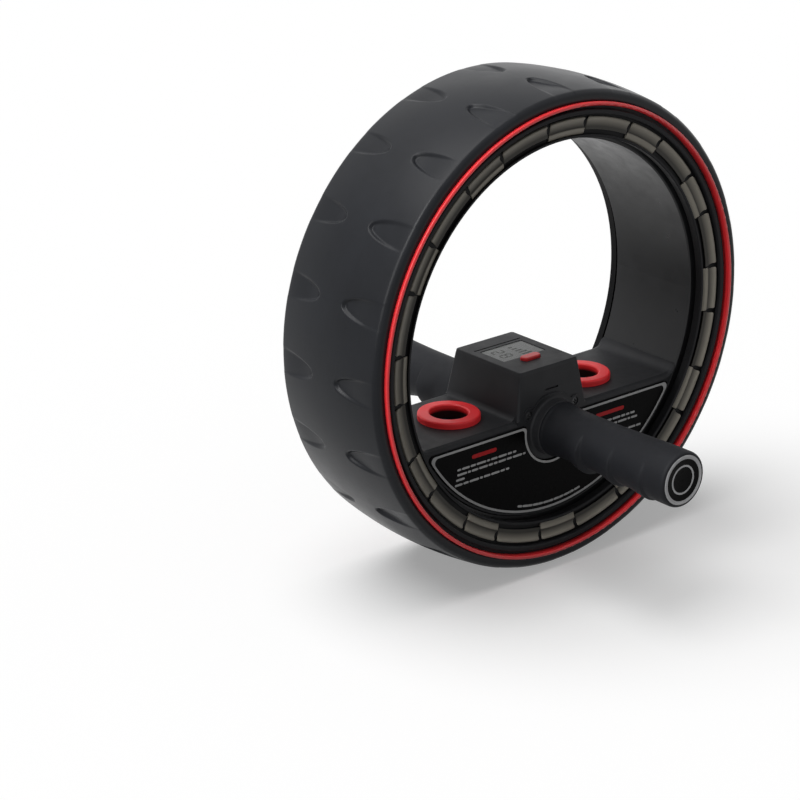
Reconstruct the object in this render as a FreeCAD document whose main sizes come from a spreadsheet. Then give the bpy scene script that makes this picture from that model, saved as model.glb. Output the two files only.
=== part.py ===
import FreeCAD, Part
import math
import os

import PartDesign
import Sketcher

# A hubless ab wheel roller. The wheel's centre is the origin, +Y runs along the axle from the front face to
# the back face, +Z is up. A tyre on a two-piece rim runs on two rows of balls round a fixed hoop. A saddle
# across the lower part of the hoop carries the handles, a roll counter and two rimmed sockets.

# Lengths are in millimetres. Names that end in angle are degrees, in count are numbers of copies and in share
# are parts of another size.
SIZES = {
    # Tyre
    "wheel_radius": 160.0,
    "tyre_width": 92.0,
    "tyre_thickness": 13.2,
    "shoulder_width": 5.9,
    "tread_drop": 2.9,
    "shoulder_drop": 5.2,
    "shoulder_round": 5.0,
    "cut_count": 20,
    "cut_phase_angle": 1.5,
    "cut_half_width": 8.25,
    "cut_tip_inset": 13.5,
    "cut_tip_half_width": 2.6,
    "cut_tip_round": 2.7,
    "cut_side_round": 96.3,
    "cut_depth": 1.2,
    "cut_tilt_angle": 5.9,
    # Accent rings
    "accent_thickness": 2.5,
    "accent_depth": 3.1,
    "accent_proud": 2.3,
    "accent_round": 1.2,
    # Rim halves
    "rim_depth": 12.4,
    "rim_wall": 3.3,
    "rim_inset": 4.0,
    "rim_web": 4.6,
    "rim_rise": 1.2,
    "rim_bore_wall": 4.6,
    "ridge_inset": 2.3,
    "ridge_width": 3.0,
    "ridge_height": 3.7,
    "edge_break": 0.5,
    "lip_cover": 2.4,
    "lip_width": 1.6,
    "lip_height": 0.8,
    "lip_groove_depth": 1.2,
    # Trim segments
    "trim_count": 12,
    "trim_short_angle": 12.6,
    "trim_long_angle": 16.4,
    "trim_inset": 7.4,
    "trim_height": 2.0,
    "trim_land": 1.3,
    "trim_low": 0.9,
    "trim_dish_round": 14.0,
    "trim_lip_rise": 0.4,
    "trim_short_inset": 1.8,
    "trim_flange": 2.9,
    # Rim screws
    "rim_screw_count": 6,
    "rim_screw_inset": 8.8,
    "rim_boss_radius": 3.2,
    "rim_screw_radius": 1.0,
    "rim_screw_head_radius": 1.75,
    "rim_screw_head_height": 1.6,
    "rim_screw_seat": 8.0,
    "rim_screw_bite": 12.0,
    # Bearing
    "race_gap": 2.8,
    "ball_radius": 2.5,
    "ball_count": 24,
    "row_offset": 20.0,
    "cage_half_width": 4.0,
    "ball_pocket_gap": 0.15,
    # Hoop
    "hoop_wall": 7.8,
    "hoop_end_gap": 2.8,
    "hoop_edge_break": 0.8,
    # Saddle
    "saddle_proud": 0.4,
    "deck_drop": 55.9,
    "deck_round": 10.0,
    "deck_end_step": 0.5,
    "deck_edge_round": 3.2,
    "deck_foot": 4.0,
    "cavity_inset": 3.0,
    "web_half": 4.0,
    "saddle_screw_count": 4,
    "saddle_screw_angle": 30.0,
    "saddle_screw_radius": 1.5,
    "saddle_screw_head_radius": 3.0,
    "saddle_screw_head_height": 1.7,
    "saddle_screw_length": 16.0,
    # Counter box on the saddle
    "pod_half_width": 30.0,
    "pod_height": 28.5,
    "pod_slope_share": 0.1228,
    "pod_side_slope_share": 0.163,
    "pod_corner": 1.8,
    "pod_flare": 4.0,
    "flare_round_share": 1.1,
    "pod_wall": 2.8,
    "pod_depth": 18.0,
    "slot_drop": 13.4,
    "slot_offset": 1.0,
    "slot_half_width": 5.6,
    "slot_height": 1.3,
    "slot_depth": 1.2,
    # Covers
    "cover_inset": 1.6,
    "cover_drop": 59.6,
    "cover_corner": 3.0,
    "cover_notch": 22.7,
    "cover_notch_corner": 3.0,
    "cover_thickness": 2.6,
    "cover_sink": 1.4,
    "cover_edge_break": 0.6,
    # Grommets and their sockets
    "socket_offset": 57.6,
    "socket_radius": 12.4,
    "socket_depth": 20.0,
    "socket_wall": 3.6,
    "socket_floor": 3.0,
    "grommet_radius": 20.4,
    "grommet_height": 4.2,
    "grommet_round": 1.4,
    "grommet_spigot_wall": 1.2,
    "grommet_spigot": 4.0,
    # Handles
    "handle_drop": 65.3,
    "handle_reach": 152.5,
    "tube_radius": 12.5,
    "tube_wall": 1.5,
    "tube_end_gap": 4.5,
    "collar_radius": 18.3,
    "collar_height": 7.0,
    "collar_plate_radius": 22.2,
    "collar_plate": 2.4,
    "collar_fillet": 1.6,
    "collar_screw_offset": 20.2,
    "collar_screw_rise": 11.7,
    "collar_ear_radius": 4.6,
    "collar_screw_radius": 1.4,
    "collar_screw_head_radius": 2.5,
    "collar_screw_head_height": 1.2,
    "collar_screw_sink": 1.5,
    "collar_screw_length": 11.0,
    "grip_radius": 18.2,
    "grip_end_inset": 0.2,
    "cap_radius": 16.2,
    "cap_spigot": 10.0,
    "cap_dish": 0.8,
    "cap_rim": 1.6,
    "cap_ring_width": 1.7,
    "cap_ring_sink": 0.8,
    "cap_ring_rise": 0.3,
    # Counter
    "panel_thickness": 2.4,
    "panel_round": 0.8,
    "panel_skirt": 3.0,
    "panel_skirt_wall": 1.2,
    "window_half_width": 18.0,
    "window_half_depth": 11.7,
    "window_offset": 3.3,
    "window_thickness": 1.2,
    "window_sink": 0.2,
    "window_ledge": 1.5,
    "window_corner": 0.6,
    "seam_offset": 18.2,
    "seam_half_width": 20.0,
    "seam_half_depth": 0.6,
    "seam_depth": 0.6,
    "button_offset": 13.5,
    "button_half_width": 7.5,
    "button_half_depth": 3.25,
    "button_corner": 3.0,
    "button_proud": 2.0,
    "button_round": 0.9,
    "button_flange": 0.7,
    "button_flange_thickness": 1.0,
    "display_height": 5.2,
    "display_half_width": 18.4,
    "board_thickness": 1.6,
    "pillar_radius": 2.6,
    "pillar_inset": 4.9,
    "board_screw_radius": 0.9,
    "board_screw_head_radius": 1.9,
    "board_screw_head_height": 1.2,
    "board_screw_length": 7.0,
    "cell_radius": 10.0,
    "cell_thickness": 3.2,
    "cell_offset": 8.0,
    "holder_wall": 1.7,
    "holder_floor": 1.2,
    "holder_head_room": 0.8,
    "switch_half": 3.0,
    "switch_height": 1.6,
    "plunger_radius": 1.5,
    "plunger_height": 0.8,
    "magnet_half": 5.0,
    "magnet_thickness": 4.0,
    "sensor_offset": 14.0,
    "sensor_half_length": 7.0,
    "sensor_thickness": 3.0,
    "lead_offset": 20.0,
    "lead_radius": 0.7,
    "lead_bend": 8.0,
    "lead_hole_radius": 1.5,
    # Clearances: seat_gap between fixed pieces, running_gap between pieces that move past each other
    "seat_gap": 0.1,
    "running_gap": 0.3,
    "overrun": 2.0,
}

# Grip outline: distance from the saddle end, radius and downward shift, as shares of the grip's length,
# its radius and its radius again. The shifts make finger ridges on the underside.
GRIP_SHARES = (
    (0.000, 0.965, 0.000),
    (0.012, 1.000, 0.000),
    (0.035, 0.955, 0.000),
    (0.160, 0.915, 0.010),
    (0.270, 0.945, 0.040),
    (0.310, 0.995, 0.075),
    (0.340, 0.945, 0.030),
    (0.440, 0.920, 0.012),
    (0.540, 0.955, 0.030),
    (0.566, 0.980, 0.048),
    (0.595, 0.958, 0.020),
    (0.700, 0.950, 0.010),
    (0.800, 0.968, 0.020),
    (0.822, 0.980, 0.028),
    (0.850, 0.972, 0.010),
    (0.965, 1.000, 0.000),
    (0.985, 0.988, 0.000),
    (1.000, 0.935, 0.000),
)

# Rounded edges of the deck and the counter panel: distance from the outer face and inset, as shares of the
# edge's radius.
EDGE_SHARES = ((1.0, 0.0), (0.3, 0.25), (0.0, 0.8))

doc = FreeCAD.newDocument("ab_wheel_roller")
sheet = doc.addObject("Spreadsheet::Sheet", "sizes")
for row, (alias, number) in enumerate(SIZES.items(), start=1):
    sheet.set(f"A{row}", alias)
    sheet.set(f"B{row}", str(number))
    sheet.setAlias(f"B{row}", alias)
doc.recompute()


class Size:
    """A size with its value now and the expression that follows the sheet."""

    def __init__(self, value, text):
        self.value = value
        self.text = text

    def __add__(self, other):
        return Size(self.value + other.value, f"({self.text} + {other.text})")

    def __sub__(self, other):
        return Size(self.value - other.value, f"({self.text} - {other.text})")

    def __neg__(self):
        return Size(-self.value, f"(-1 * {self.text})")

    def __mul__(self, other):
        if isinstance(other, Size):
            return Size(self.value * other.value, f"({self.text} * {other.text})")
        return Size(self.value * other, f"({self.text} * {other})")

    def __truediv__(self, other):
        if isinstance(other, Size):
            return Size(self.value / other.value, f"({self.text} / {other.text})")
        return Size(self.value / other, f"({self.text} / {other})")

    def root(self):
        return Size(math.sqrt(self.value), f"sqrt({self.text})")


class Sheet:
    """Reads a size of the sheet by its alias."""

    def __getattr__(self, alias):
        return Size(SIZES[alias], f"sizes.{alias}")


mm = Sheet()
ZERO = Size(0.0, "0")
FRONT = -1
BACK = 1
UPRIGHT = FreeCAD.Rotation()
ALONG_Y = FreeCAD.Rotation(FreeCAD.Vector(1, 0, 0), -90)
SIDES = (("front", FRONT), ("back", BACK))

# Radii of the wheel, from the tread inwards
rim_radius = mm.wheel_radius - mm.tyre_thickness
seat_radius = rim_radius + mm.seat_gap
accent_outer = seat_radius + mm.accent_thickness
rim_bore = rim_radius - mm.rim_depth
hoop_outer = rim_bore - mm.race_gap
hoop_inner = hoop_outer - mm.hoop_wall
ball_circle = hoop_outer + mm.race_gap / 2
lip_radius = hoop_inner + mm.lip_cover
lip_outer = lip_radius + mm.lip_width
trim_short_inner = lip_radius + mm.trim_short_inset
trim_inner = trim_short_inner + mm.trim_flange
trim_outer = rim_radius - mm.trim_inset
bore_wall_outer = rim_bore + mm.rim_bore_wall
screw_circle = rim_radius - mm.rim_screw_inset
groove_radius = mm.ball_radius + mm.running_gap
groove_half = (groove_radius * groove_radius - mm.race_gap * mm.race_gap / 4).root()

# Distances from the wheel's middle plane
tyre_half = mm.tyre_width / 2
tread_half = tyre_half - mm.shoulder_width
accent_seat = tyre_half - mm.accent_depth
accent_front = tyre_half + mm.accent_proud
rim_face = tyre_half - mm.rim_inset
rim_inside = rim_face - mm.rim_web
hoop_half = rim_inside - mm.hoop_end_gap
saddle_half = hoop_half + mm.saddle_proud
collar_face = saddle_half + mm.collar_height
grip_start = collar_face + mm.seat_gap
grip_end = mm.handle_reach - mm.grip_end_inset
tube_half = mm.handle_reach - mm.tube_end_gap

# Heights in the saddle and the counter
deck = -mm.deck_drop
pod_top = deck + mm.pod_height
panel_top = pod_top + mm.panel_thickness
pod_floor = pod_top - mm.pod_depth
pod_top_half_width = mm.pod_half_width - mm.pod_height * mm.pod_side_slope_share
pod_top_half_depth = saddle_half - mm.pod_height * mm.pod_slope_share
cavity_half_width = pod_top_half_width - mm.pod_wall
cavity_half_depth = pod_top_half_depth - mm.pod_wall
board_top = pod_top - mm.seat_gap - mm.display_height
board_under = board_top - mm.board_thickness
saddle_radius = hoop_inner - mm.seat_gap
cover_radius = hoop_inner - mm.cover_inset
cavity_radius = cover_radius - mm.cavity_inset
handle_height = -mm.handle_drop

pieces = {}


def origin_part(body, role):
    return next(part for part in body.Origin.OriginFeatures if part.Role == role)


def new_body(label, height=None):
    """A body of its own, lifted to a height where one is given."""
    body = doc.addObject("PartDesign::Body", label)
    body.Label = label
    body.AllowCompound = True
    if height is not None:
        body.Placement.Base.z = height.value
        body.setExpression("Placement.Base.z", height.text)
    pieces[label] = body
    return body


def new_sketch(body, name, role, offset=None):
    """A sketch on one of the body's own planes, moved along its normal by the offset."""
    sketch = body.newObject("Sketcher::SketchObject", name)
    sketch.AttachmentSupport = [(origin_part(body, role), "")]
    sketch.MapMode = "FlatFace"
    if offset is not None:
        sketch.AttachmentOffset = FreeCAD.Placement(FreeCAD.Vector(0, 0, offset.value), UPRIGHT)
        sketch.setExpression("AttachmentOffset.Base.z", offset.text)
    return sketch


def hold(sketch, kind, size, *references):
    """A dimension of the sketch that follows the sheet."""
    index = sketch.addConstraint(Sketcher.Constraint(kind, *references, size.value))
    sketch.setExpression(f"Constraints[{index}]", size.text)


def pin_point(sketch, geometry, point, across, up):
    """Hold a point at its two distances from the sketch's origin."""
    for kind, size, axis in (("DistanceX", across, -2), ("DistanceY", up, -1)):
        if size is ZERO:
            sketch.addConstraint(Sketcher.Constraint("PointOnObject", geometry, point, axis))
        else:
            hold(sketch, kind, size, -1, 1, geometry, point)


def arc_between(start, end, radius, turn):
    """The lesser arc from start to end: turn 1 goes anticlockwise and -1 clockwise."""
    chord = end - start
    middle = (start + end) / 2
    left = FreeCAD.Vector(-chord.y, chord.x, 0).normalize()
    reach = math.sqrt(max(radius ** 2 - chord.Length ** 2 / 4, 0))
    centre = middle + left * reach * turn
    first, last = (start, end) if turn > 0 else (end, start)
    angles = [math.atan2(point.y - centre.y, point.x - centre.x) for point in (first, last)]
    return Part.ArcOfCircle(Part.Circle(centre, FreeCAD.Vector(0, 0, 1), radius), *angles)


def outline(sketch, steps):
    """A closed outline. A step is the two distances of a corner, reached by a line, and for an arc also its
    radius and its turn."""
    corners = [FreeCAD.Vector(step[0].value, step[1].value, 0) for step in steps]
    ends = []
    for index, step in enumerate(steps):
        start, end = corners[index - 1], corners[index]
        if len(step) == 2:
            geometry = sketch.addGeometry(Part.LineSegment(start, end), False)
            ends.append((geometry, 1, 2))
        else:
            geometry = sketch.addGeometry(arc_between(start, end, step[2].value, step[3]), False)
            ends.append((geometry, 1, 2) if step[3] > 0 else (geometry, 2, 1))
    for index, step in enumerate(steps):
        geometry, first, last = ends[index]
        before, _, before_last = ends[index - 1]
        sketch.addConstraint(Sketcher.Constraint("Coincident", before, before_last, geometry, first))
        pin_point(sketch, geometry, last, step[0], step[1])
        if len(step) > 2:
            hold(sketch, "Radius", step[2], geometry)
    return sketch


def circle(sketch, radius, across=ZERO, up=ZERO):
    centre = FreeCAD.Vector(across.value, up.value, 0)
    geometry = sketch.addGeometry(Part.Circle(centre, FreeCAD.Vector(0, 0, 1), radius.value), False)
    pin_point(sketch, geometry, 3, across, up)
    hold(sketch, "Radius", radius, geometry)
    return sketch


def rounded_rectangle(sketch, half_width, half_depth, corner, middle=ZERO):
    """A rectangle with round corners, its middle moved along the sketch's second axis."""
    inner = half_width - corner
    low, high = middle - half_depth, middle + half_depth
    return outline(sketch, [
        (inner, low),
        (half_width, low + corner, corner, 1),
        (half_width, high - corner),
        (inner, high, corner, 1),
        (-inner, high),
        (-half_width, high - corner, corner, 1),
        (-half_width, low + corner),
        (-inner, low, corner, 1),
    ])


def extrude(body, kind, name, sketch, length, reverse=False, symmetric=False):
    feature = body.newObject(f"PartDesign::{kind}", name)
    feature.Profile = sketch
    feature.Length = length.value
    feature.setExpression("Length", length.text)
    feature.Reversed = reverse
    if symmetric:
        feature.SideType = "Symmetric"
    return feature


def revolve(body, name, sketch, kind="Revolution"):
    """A full turn about the sketch's second axis."""
    feature = body.newObject(f"PartDesign::{kind}", name)
    feature.Profile = sketch
    feature.ReferenceAxis = (sketch, ["V_Axis"])
    feature.Angle = 360
    return feature


def ring_of(body, name, feature, count):
    """Copies of a feature, evenly spaced about the axle."""
    pattern = body.newObject("PartDesign::PolarPattern", name)
    pattern.Originals = [feature]
    pattern.Axis = (origin_part(body, "Y_Axis"), [""])
    pattern.Angle = 360
    pattern.Occurrences = int(count.value)
    pattern.setExpression("Occurrences", count.text)
    body.Tip = pattern
    return pattern


def solid(body, kind, name, sizes, base, turn=UPRIGHT):
    """A primitive of the body with its sizes and place bound to the sheet."""
    feature = body.newObject(f"PartDesign::{kind}", name)
    for key, size in sizes.items():
        setattr(feature, key, size.value)
        feature.setExpression(key, size.text)
    feature.Placement = FreeCAD.Placement(FreeCAD.Vector(*(size.value for size in base)), turn)
    for key, size in zip("xyz", base):
        feature.setExpression(f"Placement.Base.{key}", size.text)
    return feature


def rod(body, kind, name, radius, height, base, turn=UPRIGHT):
    return solid(body, f"{kind}Cylinder", name, {"Radius": radius, "Height": height}, base, turn)


def block(label, low, high):
    """A plain box between two corners."""
    box = doc.addObject("Part::Box", label)
    box.Label = label
    spans = [end - start for start, end in zip(low, high)]
    for key, size in zip(("Length", "Width", "Height"), spans):
        setattr(box, key, size.value)
        box.setExpression(key, size.text)
    box.Placement.Base = FreeCAD.Vector(*(size.value for size in low))
    for key, size in zip("xyz", low):
        box.setExpression(f"Placement.Base.{key}", size.text)
    pieces[label] = box
    return box


def from_side(side, start, end):
    """The lower end and the length of a stretch along Y between two distances from the middle plane."""
    low = start * side if side > 0 else end * side
    return low, end - start


def side_plane(side, distance):
    """Offset that puts a sketch of the XZ plane, whose normal is -Y, at a distance from the middle plane."""
    return distance * -side


def make_tyre():
    """Crowned tyre with tapering cuts open at both shoulders."""
    body = new_body("tyre")
    side_inner = accent_outer + mm.seat_gap
    side_top = mm.wheel_radius - mm.shoulder_drop
    tread_edge = mm.wheel_radius - mm.tread_drop
    crown = (tread_half * tread_half + mm.tread_drop * mm.tread_drop) / (mm.tread_drop * 2)
    section = outline(new_sketch(body, "tyre_section", "XY_Plane"), [
        (seat_radius, -accent_seat),
        (side_inner, -accent_seat),
        (side_inner, -tyre_half),
        (side_top, -tyre_half),
        (tread_edge, -tread_half, mm.shoulder_round, 1),
        (tread_edge, tread_half, crown, 1),
        (side_top, tyre_half, mm.shoulder_round, 1),
        (side_inner, tyre_half),
        (side_inner, accent_seat),
        (seat_radius, accent_seat),
    ])
    revolve(body, "tyre_band", section)
    for name, side in SIDES:
        sketch = new_sketch(body, f"cut_outline_{name}", "XY_Plane")
        turn = FreeCAD.Rotation(FreeCAD.Vector(-side, 0, 0), SIZES["cut_tilt_angle"])
        floor = tread_edge - mm.cut_depth
        sketch.AttachmentOffset = FreeCAD.Placement(
            FreeCAD.Vector(0, tread_half.value * side, floor.value), turn)
        sketch.setExpression("AttachmentOffset.Base.y", (tread_half * side).text)
        sketch.setExpression("AttachmentOffset.Base.z", floor.text)
        sketch.setExpression("AttachmentOffset.Rotation.Angle", "sizes.cut_tilt_angle")
        tip = (mm.cut_tip_inset - tread_half) * side
        mouth = mm.shoulder_width * side
        past = (mm.shoulder_width + mm.overrun) * side
        outline(sketch, [
            (-mm.cut_half_width, past),
            (mm.cut_half_width, past),
            (mm.cut_half_width, mouth),
            (mm.cut_tip_half_width, tip, mm.cut_side_round, -side),
            (-mm.cut_tip_half_width, tip, mm.cut_tip_round, -side),
            (-mm.cut_half_width, mouth, mm.cut_side_round, -side),
        ])
        cut = extrude(body, "Pocket", f"cut_{name}", sketch, mm.shoulder_drop, reverse=True)
        ring_of(body, f"cuts_{name}", cut, mm.cut_count)
    phase = FreeCAD.Rotation(FreeCAD.Vector(0, -1, 0), SIZES["cut_phase_angle"])
    body.Placement = FreeCAD.Placement(FreeCAD.Vector(), phase)
    body.setExpression("Placement.Rotation.Angle", "sizes.cut_phase_angle")


def make_accent_ring(name, side):
    """Red ring with a flat stem between tyre and rim and a rounded edge in front of both."""
    body = new_body(f"accent_ring_{name}")
    ease = mm.accent_round
    brow = (accent_front - ease) * side
    back = (accent_seat + mm.seat_gap) * side
    section = outline(new_sketch(body, f"accent_section_{name}", "XY_Plane"), [
        (seat_radius, back),
        (accent_outer, back),
        (accent_outer, brow),
        (accent_outer - ease, accent_front * side, ease, side),
        (seat_radius + ease, accent_front * side),
        (seat_radius, brow, ease, side),
    ])
    revolve(body, f"accent_{name}", section)


def make_rim(name, side):
    """Half of the rim: outer wall under the tyre, side web with ridge, groove and lip, bored inner wall."""
    body = new_body(f"rim_{name}")
    ridge_outer = rim_radius - mm.ridge_inset
    ridge_inner = ridge_outer - mm.ridge_width
    ridge_top = rim_face + mm.ridge_height
    wall_inner = rim_radius - mm.rim_wall
    groove_floor = rim_face - mm.lip_groove_depth
    lip_top = rim_face + mm.lip_height
    steps = [
        (rim_radius, ZERO),
        (rim_radius, rim_face + mm.rim_rise),
        (ridge_outer, rim_face + mm.rim_rise),
        (ridge_outer, ridge_top - mm.edge_break),
        (ridge_outer - mm.edge_break, ridge_top),
        (ridge_inner + mm.edge_break, ridge_top),
        (ridge_inner, ridge_top - mm.edge_break),
        (ridge_inner, rim_face),
        (trim_inner, rim_face),
        (trim_inner, groove_floor),
        (lip_outer, groove_floor),
        (lip_outer, lip_top),
        (lip_radius + mm.edge_break, lip_top),
        (lip_radius, lip_top - mm.edge_break),
        (lip_radius, rim_inside),
        (rim_bore, rim_inside),
        (rim_bore, ZERO),
        (bore_wall_outer, ZERO),
        (bore_wall_outer, rim_inside),
        (wall_inner, rim_inside),
        (wall_inner, ZERO),
    ]
    steps = [(across, up if up is ZERO else up * side) for across, up in steps]
    revolve(body, f"rim_band_{name}", outline(new_sketch(body, f"rim_section_{name}", "XY_Plane"), steps))
    low, length = from_side(side, ZERO, rim_inside)
    boss = rod(body, "Additive", f"rim_boss_{name}", mm.rim_boss_radius, length, (screw_circle, low, ZERO),
               ALONG_Y)
    ring_of(body, f"rim_bosses_{name}", boss, mm.rim_screw_count)
    if side == FRONT:
        low, length = from_side(side, -mm.overrun, rim_inside)
        hole = rod(body, "Subtractive", "rim_hole", mm.rim_screw_radius + mm.seat_gap, length,
                   (screw_circle, low, ZERO), ALONG_Y)
        ring_of(body, "rim_holes", hole, mm.rim_screw_count)
        low, length = from_side(side, mm.rim_screw_seat, rim_face + mm.overrun)
        well = rod(body, "Subtractive", "rim_well", mm.rim_screw_head_radius + mm.seat_gap, length,
                   (screw_circle, low, ZERO), ALONG_Y)
        ring_of(body, "rim_wells", well, mm.rim_screw_count)
    else:
        low, length = from_side(side, -mm.overrun, mm.rim_screw_bite + mm.seat_gap)
        hole = rod(body, "Subtractive", "rim_thread", mm.rim_screw_radius + mm.seat_gap, length,
                   (screw_circle, low, ZERO), ALONG_Y)
        ring_of(body, "rim_threads", hole, mm.rim_screw_count)
    race = new_sketch(body, f"rim_race_section_{name}", "XY_Plane")
    circle(race, groove_radius, ball_circle, mm.row_offset * side)
    revolve(body, f"rim_race_{name}", race, "Groove")


def make_trim(kind, name, side):
    """Ring of dished side segments: short ones reach over the rim's groove, long ones stop before it."""
    body = new_body(f"trim_{kind}_{name}")
    top = rim_face + mm.trim_height
    low = rim_face + mm.trim_low
    steps = [
        (trim_outer, rim_face),
        (trim_outer, top - mm.edge_break),
        (trim_outer - mm.edge_break, top),
        (trim_outer - mm.trim_land, top),
        (trim_inner, low, mm.trim_dish_round, -side),
    ]
    if kind == "short":
        lip_top = low + mm.trim_lip_rise
        steps.append((trim_short_inner + mm.edge_break * 2, lip_top))
        steps.append((trim_short_inner, lip_top - mm.edge_break))
        steps.append((trim_short_inner, rim_face))
        angle = "trim_short_angle"
    else:
        steps.append((trim_inner, rim_face))
        angle = "trim_long_angle"
    steps = [(step[0], step[1] * side, *step[2:]) for step in steps]
    sketch = outline(new_sketch(body, f"trim_{kind}_section_{name}", "XY_Plane"), steps)
    feature = revolve(body, f"trim_{kind}_segment_{name}", sketch)
    feature.Midplane = True
    feature.Angle = SIZES[angle]
    feature.setExpression("Angle", f"sizes.{angle}")
    ring_of(body, f"trim_{kind}_ring_{name}", feature, mm.trim_count)
    if kind == "long":
        half_step = 180 / SIZES["trim_count"]
        body.Placement = FreeCAD.Placement(
            FreeCAD.Vector(), FreeCAD.Rotation(FreeCAD.Vector(0, 1, 0), half_step))
        body.setExpression("Placement.Rotation.Angle", "180 / sizes.trim_count")


def make_rim_screws():
    """Screws that draw the two rim halves together."""
    body = new_body("rim_screws")
    low = -(mm.rim_screw_seat + mm.rim_screw_head_height)
    head = rod(body, "Additive", "rim_screw_head", mm.rim_screw_head_radius, mm.rim_screw_head_height,
               (screw_circle, low, ZERO), ALONG_Y)
    ring_of(body, "rim_screw_heads", head, mm.rim_screw_count)
    shank = rod(body, "Additive", "rim_screw_shank", mm.rim_screw_radius,
                mm.rim_screw_seat + mm.rim_screw_bite, (screw_circle, -mm.rim_screw_seat, ZERO), ALONG_Y)
    ring_of(body, "rim_screw_shanks", shank, mm.rim_screw_count)


def make_bearing(name, side):
    """A row of balls and the cage that spaces them."""
    row = mm.row_offset * side
    cage = new_body(f"ball_cage_{name}")
    inner = hoop_outer + mm.running_gap
    outer = rim_bore - mm.running_gap
    section = outline(new_sketch(cage, f"cage_section_{name}", "XY_Plane"), [
        (inner, row - mm.cage_half_width),
        (outer, row - mm.cage_half_width),
        (outer, row + mm.cage_half_width),
        (inner, row + mm.cage_half_width),
    ])
    revolve(cage, f"cage_band_{name}", section)
    pocket = rod(cage, "Subtractive", f"ball_pocket_{name}", mm.ball_radius + mm.ball_pocket_gap,
                 mm.race_gap, (ZERO, row, hoop_outer))
    ring_of(cage, f"ball_pockets_{name}", pocket, mm.ball_count)
    balls = new_body(f"bearing_balls_{name}")
    ball = solid(balls, "AdditiveSphere", f"ball_{name}", {"Radius": mm.ball_radius},
                 (ZERO, row, ball_circle))
    ring_of(balls, f"ball_row_{name}", ball, mm.ball_count)


def saddle_screw_turns():
    """Turns about the axle that take a screw from straight down to each place under the saddle."""
    count = int(SIZES["saddle_screw_count"])
    for index in range(count):
        angle = (index - (count - 1) / 2) * SIZES["saddle_screw_angle"]
        yield index, FreeCAD.Rotation(FreeCAD.Vector(0, 1, 0), 180 + angle)


def radial_rod(body, kind, name, sizes, start, turn):
    """A round feature whose axis runs out from the axle, from a start radius."""
    feature = body.newObject(f"PartDesign::{kind}", name)
    for key, size in sizes.items():
        setattr(feature, key, size.value)
        feature.setExpression(key, size.text)
    base = turn.multVec(FreeCAD.Vector(0, 0, start.value))
    feature.Placement = FreeCAD.Placement(base, turn)
    return feature


def make_hoop():
    """Fixed inner ring with the two inner races."""
    body = new_body("hoop")
    row = mm.row_offset
    edge = mm.hoop_edge_break
    section = outline(new_sketch(body, "hoop_section", "XY_Plane"), [
        (hoop_inner, -(hoop_half - edge)),
        (hoop_inner + edge, -hoop_half),
        (hoop_outer, -hoop_half),
        (hoop_outer, -(row + groove_half)),
        (hoop_outer, -(row - groove_half), groove_radius, -1),
        (hoop_outer, row - groove_half),
        (hoop_outer, row + groove_half, groove_radius, -1),
        (hoop_outer, hoop_half),
        (hoop_inner + edge, hoop_half),
        (hoop_inner, hoop_half - edge),
    ])
    revolve(body, "hoop_band", section)
    clear = mm.saddle_screw_radius + mm.seat_gap
    head = mm.saddle_screw_head_radius + mm.seat_gap
    for index, turn in saddle_screw_turns():
        radial_rod(body, "SubtractiveCylinder", f"hoop_hole_{index}",
                   {"Radius": clear, "Height": mm.hoop_wall + mm.overrun * 2}, hoop_inner - mm.overrun, turn)
        radial_rod(body, "SubtractiveCylinder", f"hoop_sink_{index}",
                   {"Radius": head, "Height": mm.saddle_screw_head_height + mm.overrun},
                   hoop_outer - mm.saddle_screw_head_height, turn)


def make_saddle_screws():
    """Screws through the hoop into the saddle, set below the hoop's outer face."""
    body = new_body("saddle_screws")
    seat = hoop_outer - mm.saddle_screw_head_height
    for index, turn in saddle_screw_turns():
        radial_rod(body, "AdditiveCylinder", f"saddle_screw_shank_{index}",
                   {"Radius": mm.saddle_screw_radius, "Height": mm.saddle_screw_length},
                   seat - mm.saddle_screw_length, turn)
        radial_rod(body, "AdditiveCylinder", f"saddle_screw_head_{index}",
                   {"Radius": mm.saddle_screw_head_radius,
                    "Height": mm.saddle_screw_head_height - mm.seat_gap}, seat, turn)


def cover_outline(sketch, grow):
    """Plate outline under the deck with a round notch for the handle, grown by an amount on every edge."""
    corner = mm.cover_corner
    notch_corner = mm.cover_notch_corner
    radius = cover_radius + grow
    top = mm.cover_drop - grow
    notch = mm.cover_notch - grow
    centre_down = top + corner
    inset = radius - corner
    corner_x = (inset * inset - centre_down * centre_down).root()
    ratio = radius / inset
    reach = notch + notch_corner
    rise = mm.handle_drop - top - notch_corner
    notch_x = (reach * reach - rise * rise).root()
    notch_ratio = notch / reach
    side_x = notch_x * notch_ratio
    side_z = rise * notch_ratio - mm.handle_drop
    return outline(sketch, [
        (corner_x * ratio, -(centre_down * ratio), radius, 1),
        (corner_x, -top, corner, 1),
        (notch_x, -top),
        (side_x, side_z, notch_corner, 1),
        (ZERO, -(mm.handle_drop + notch), notch, -1),
        (-side_x, side_z, notch, -1),
        (-notch_x, -top, notch_corner, 1),
        (-corner_x, -top),
        (-(corner_x * ratio), -(centre_down * ratio), corner, 1),
    ])


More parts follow.
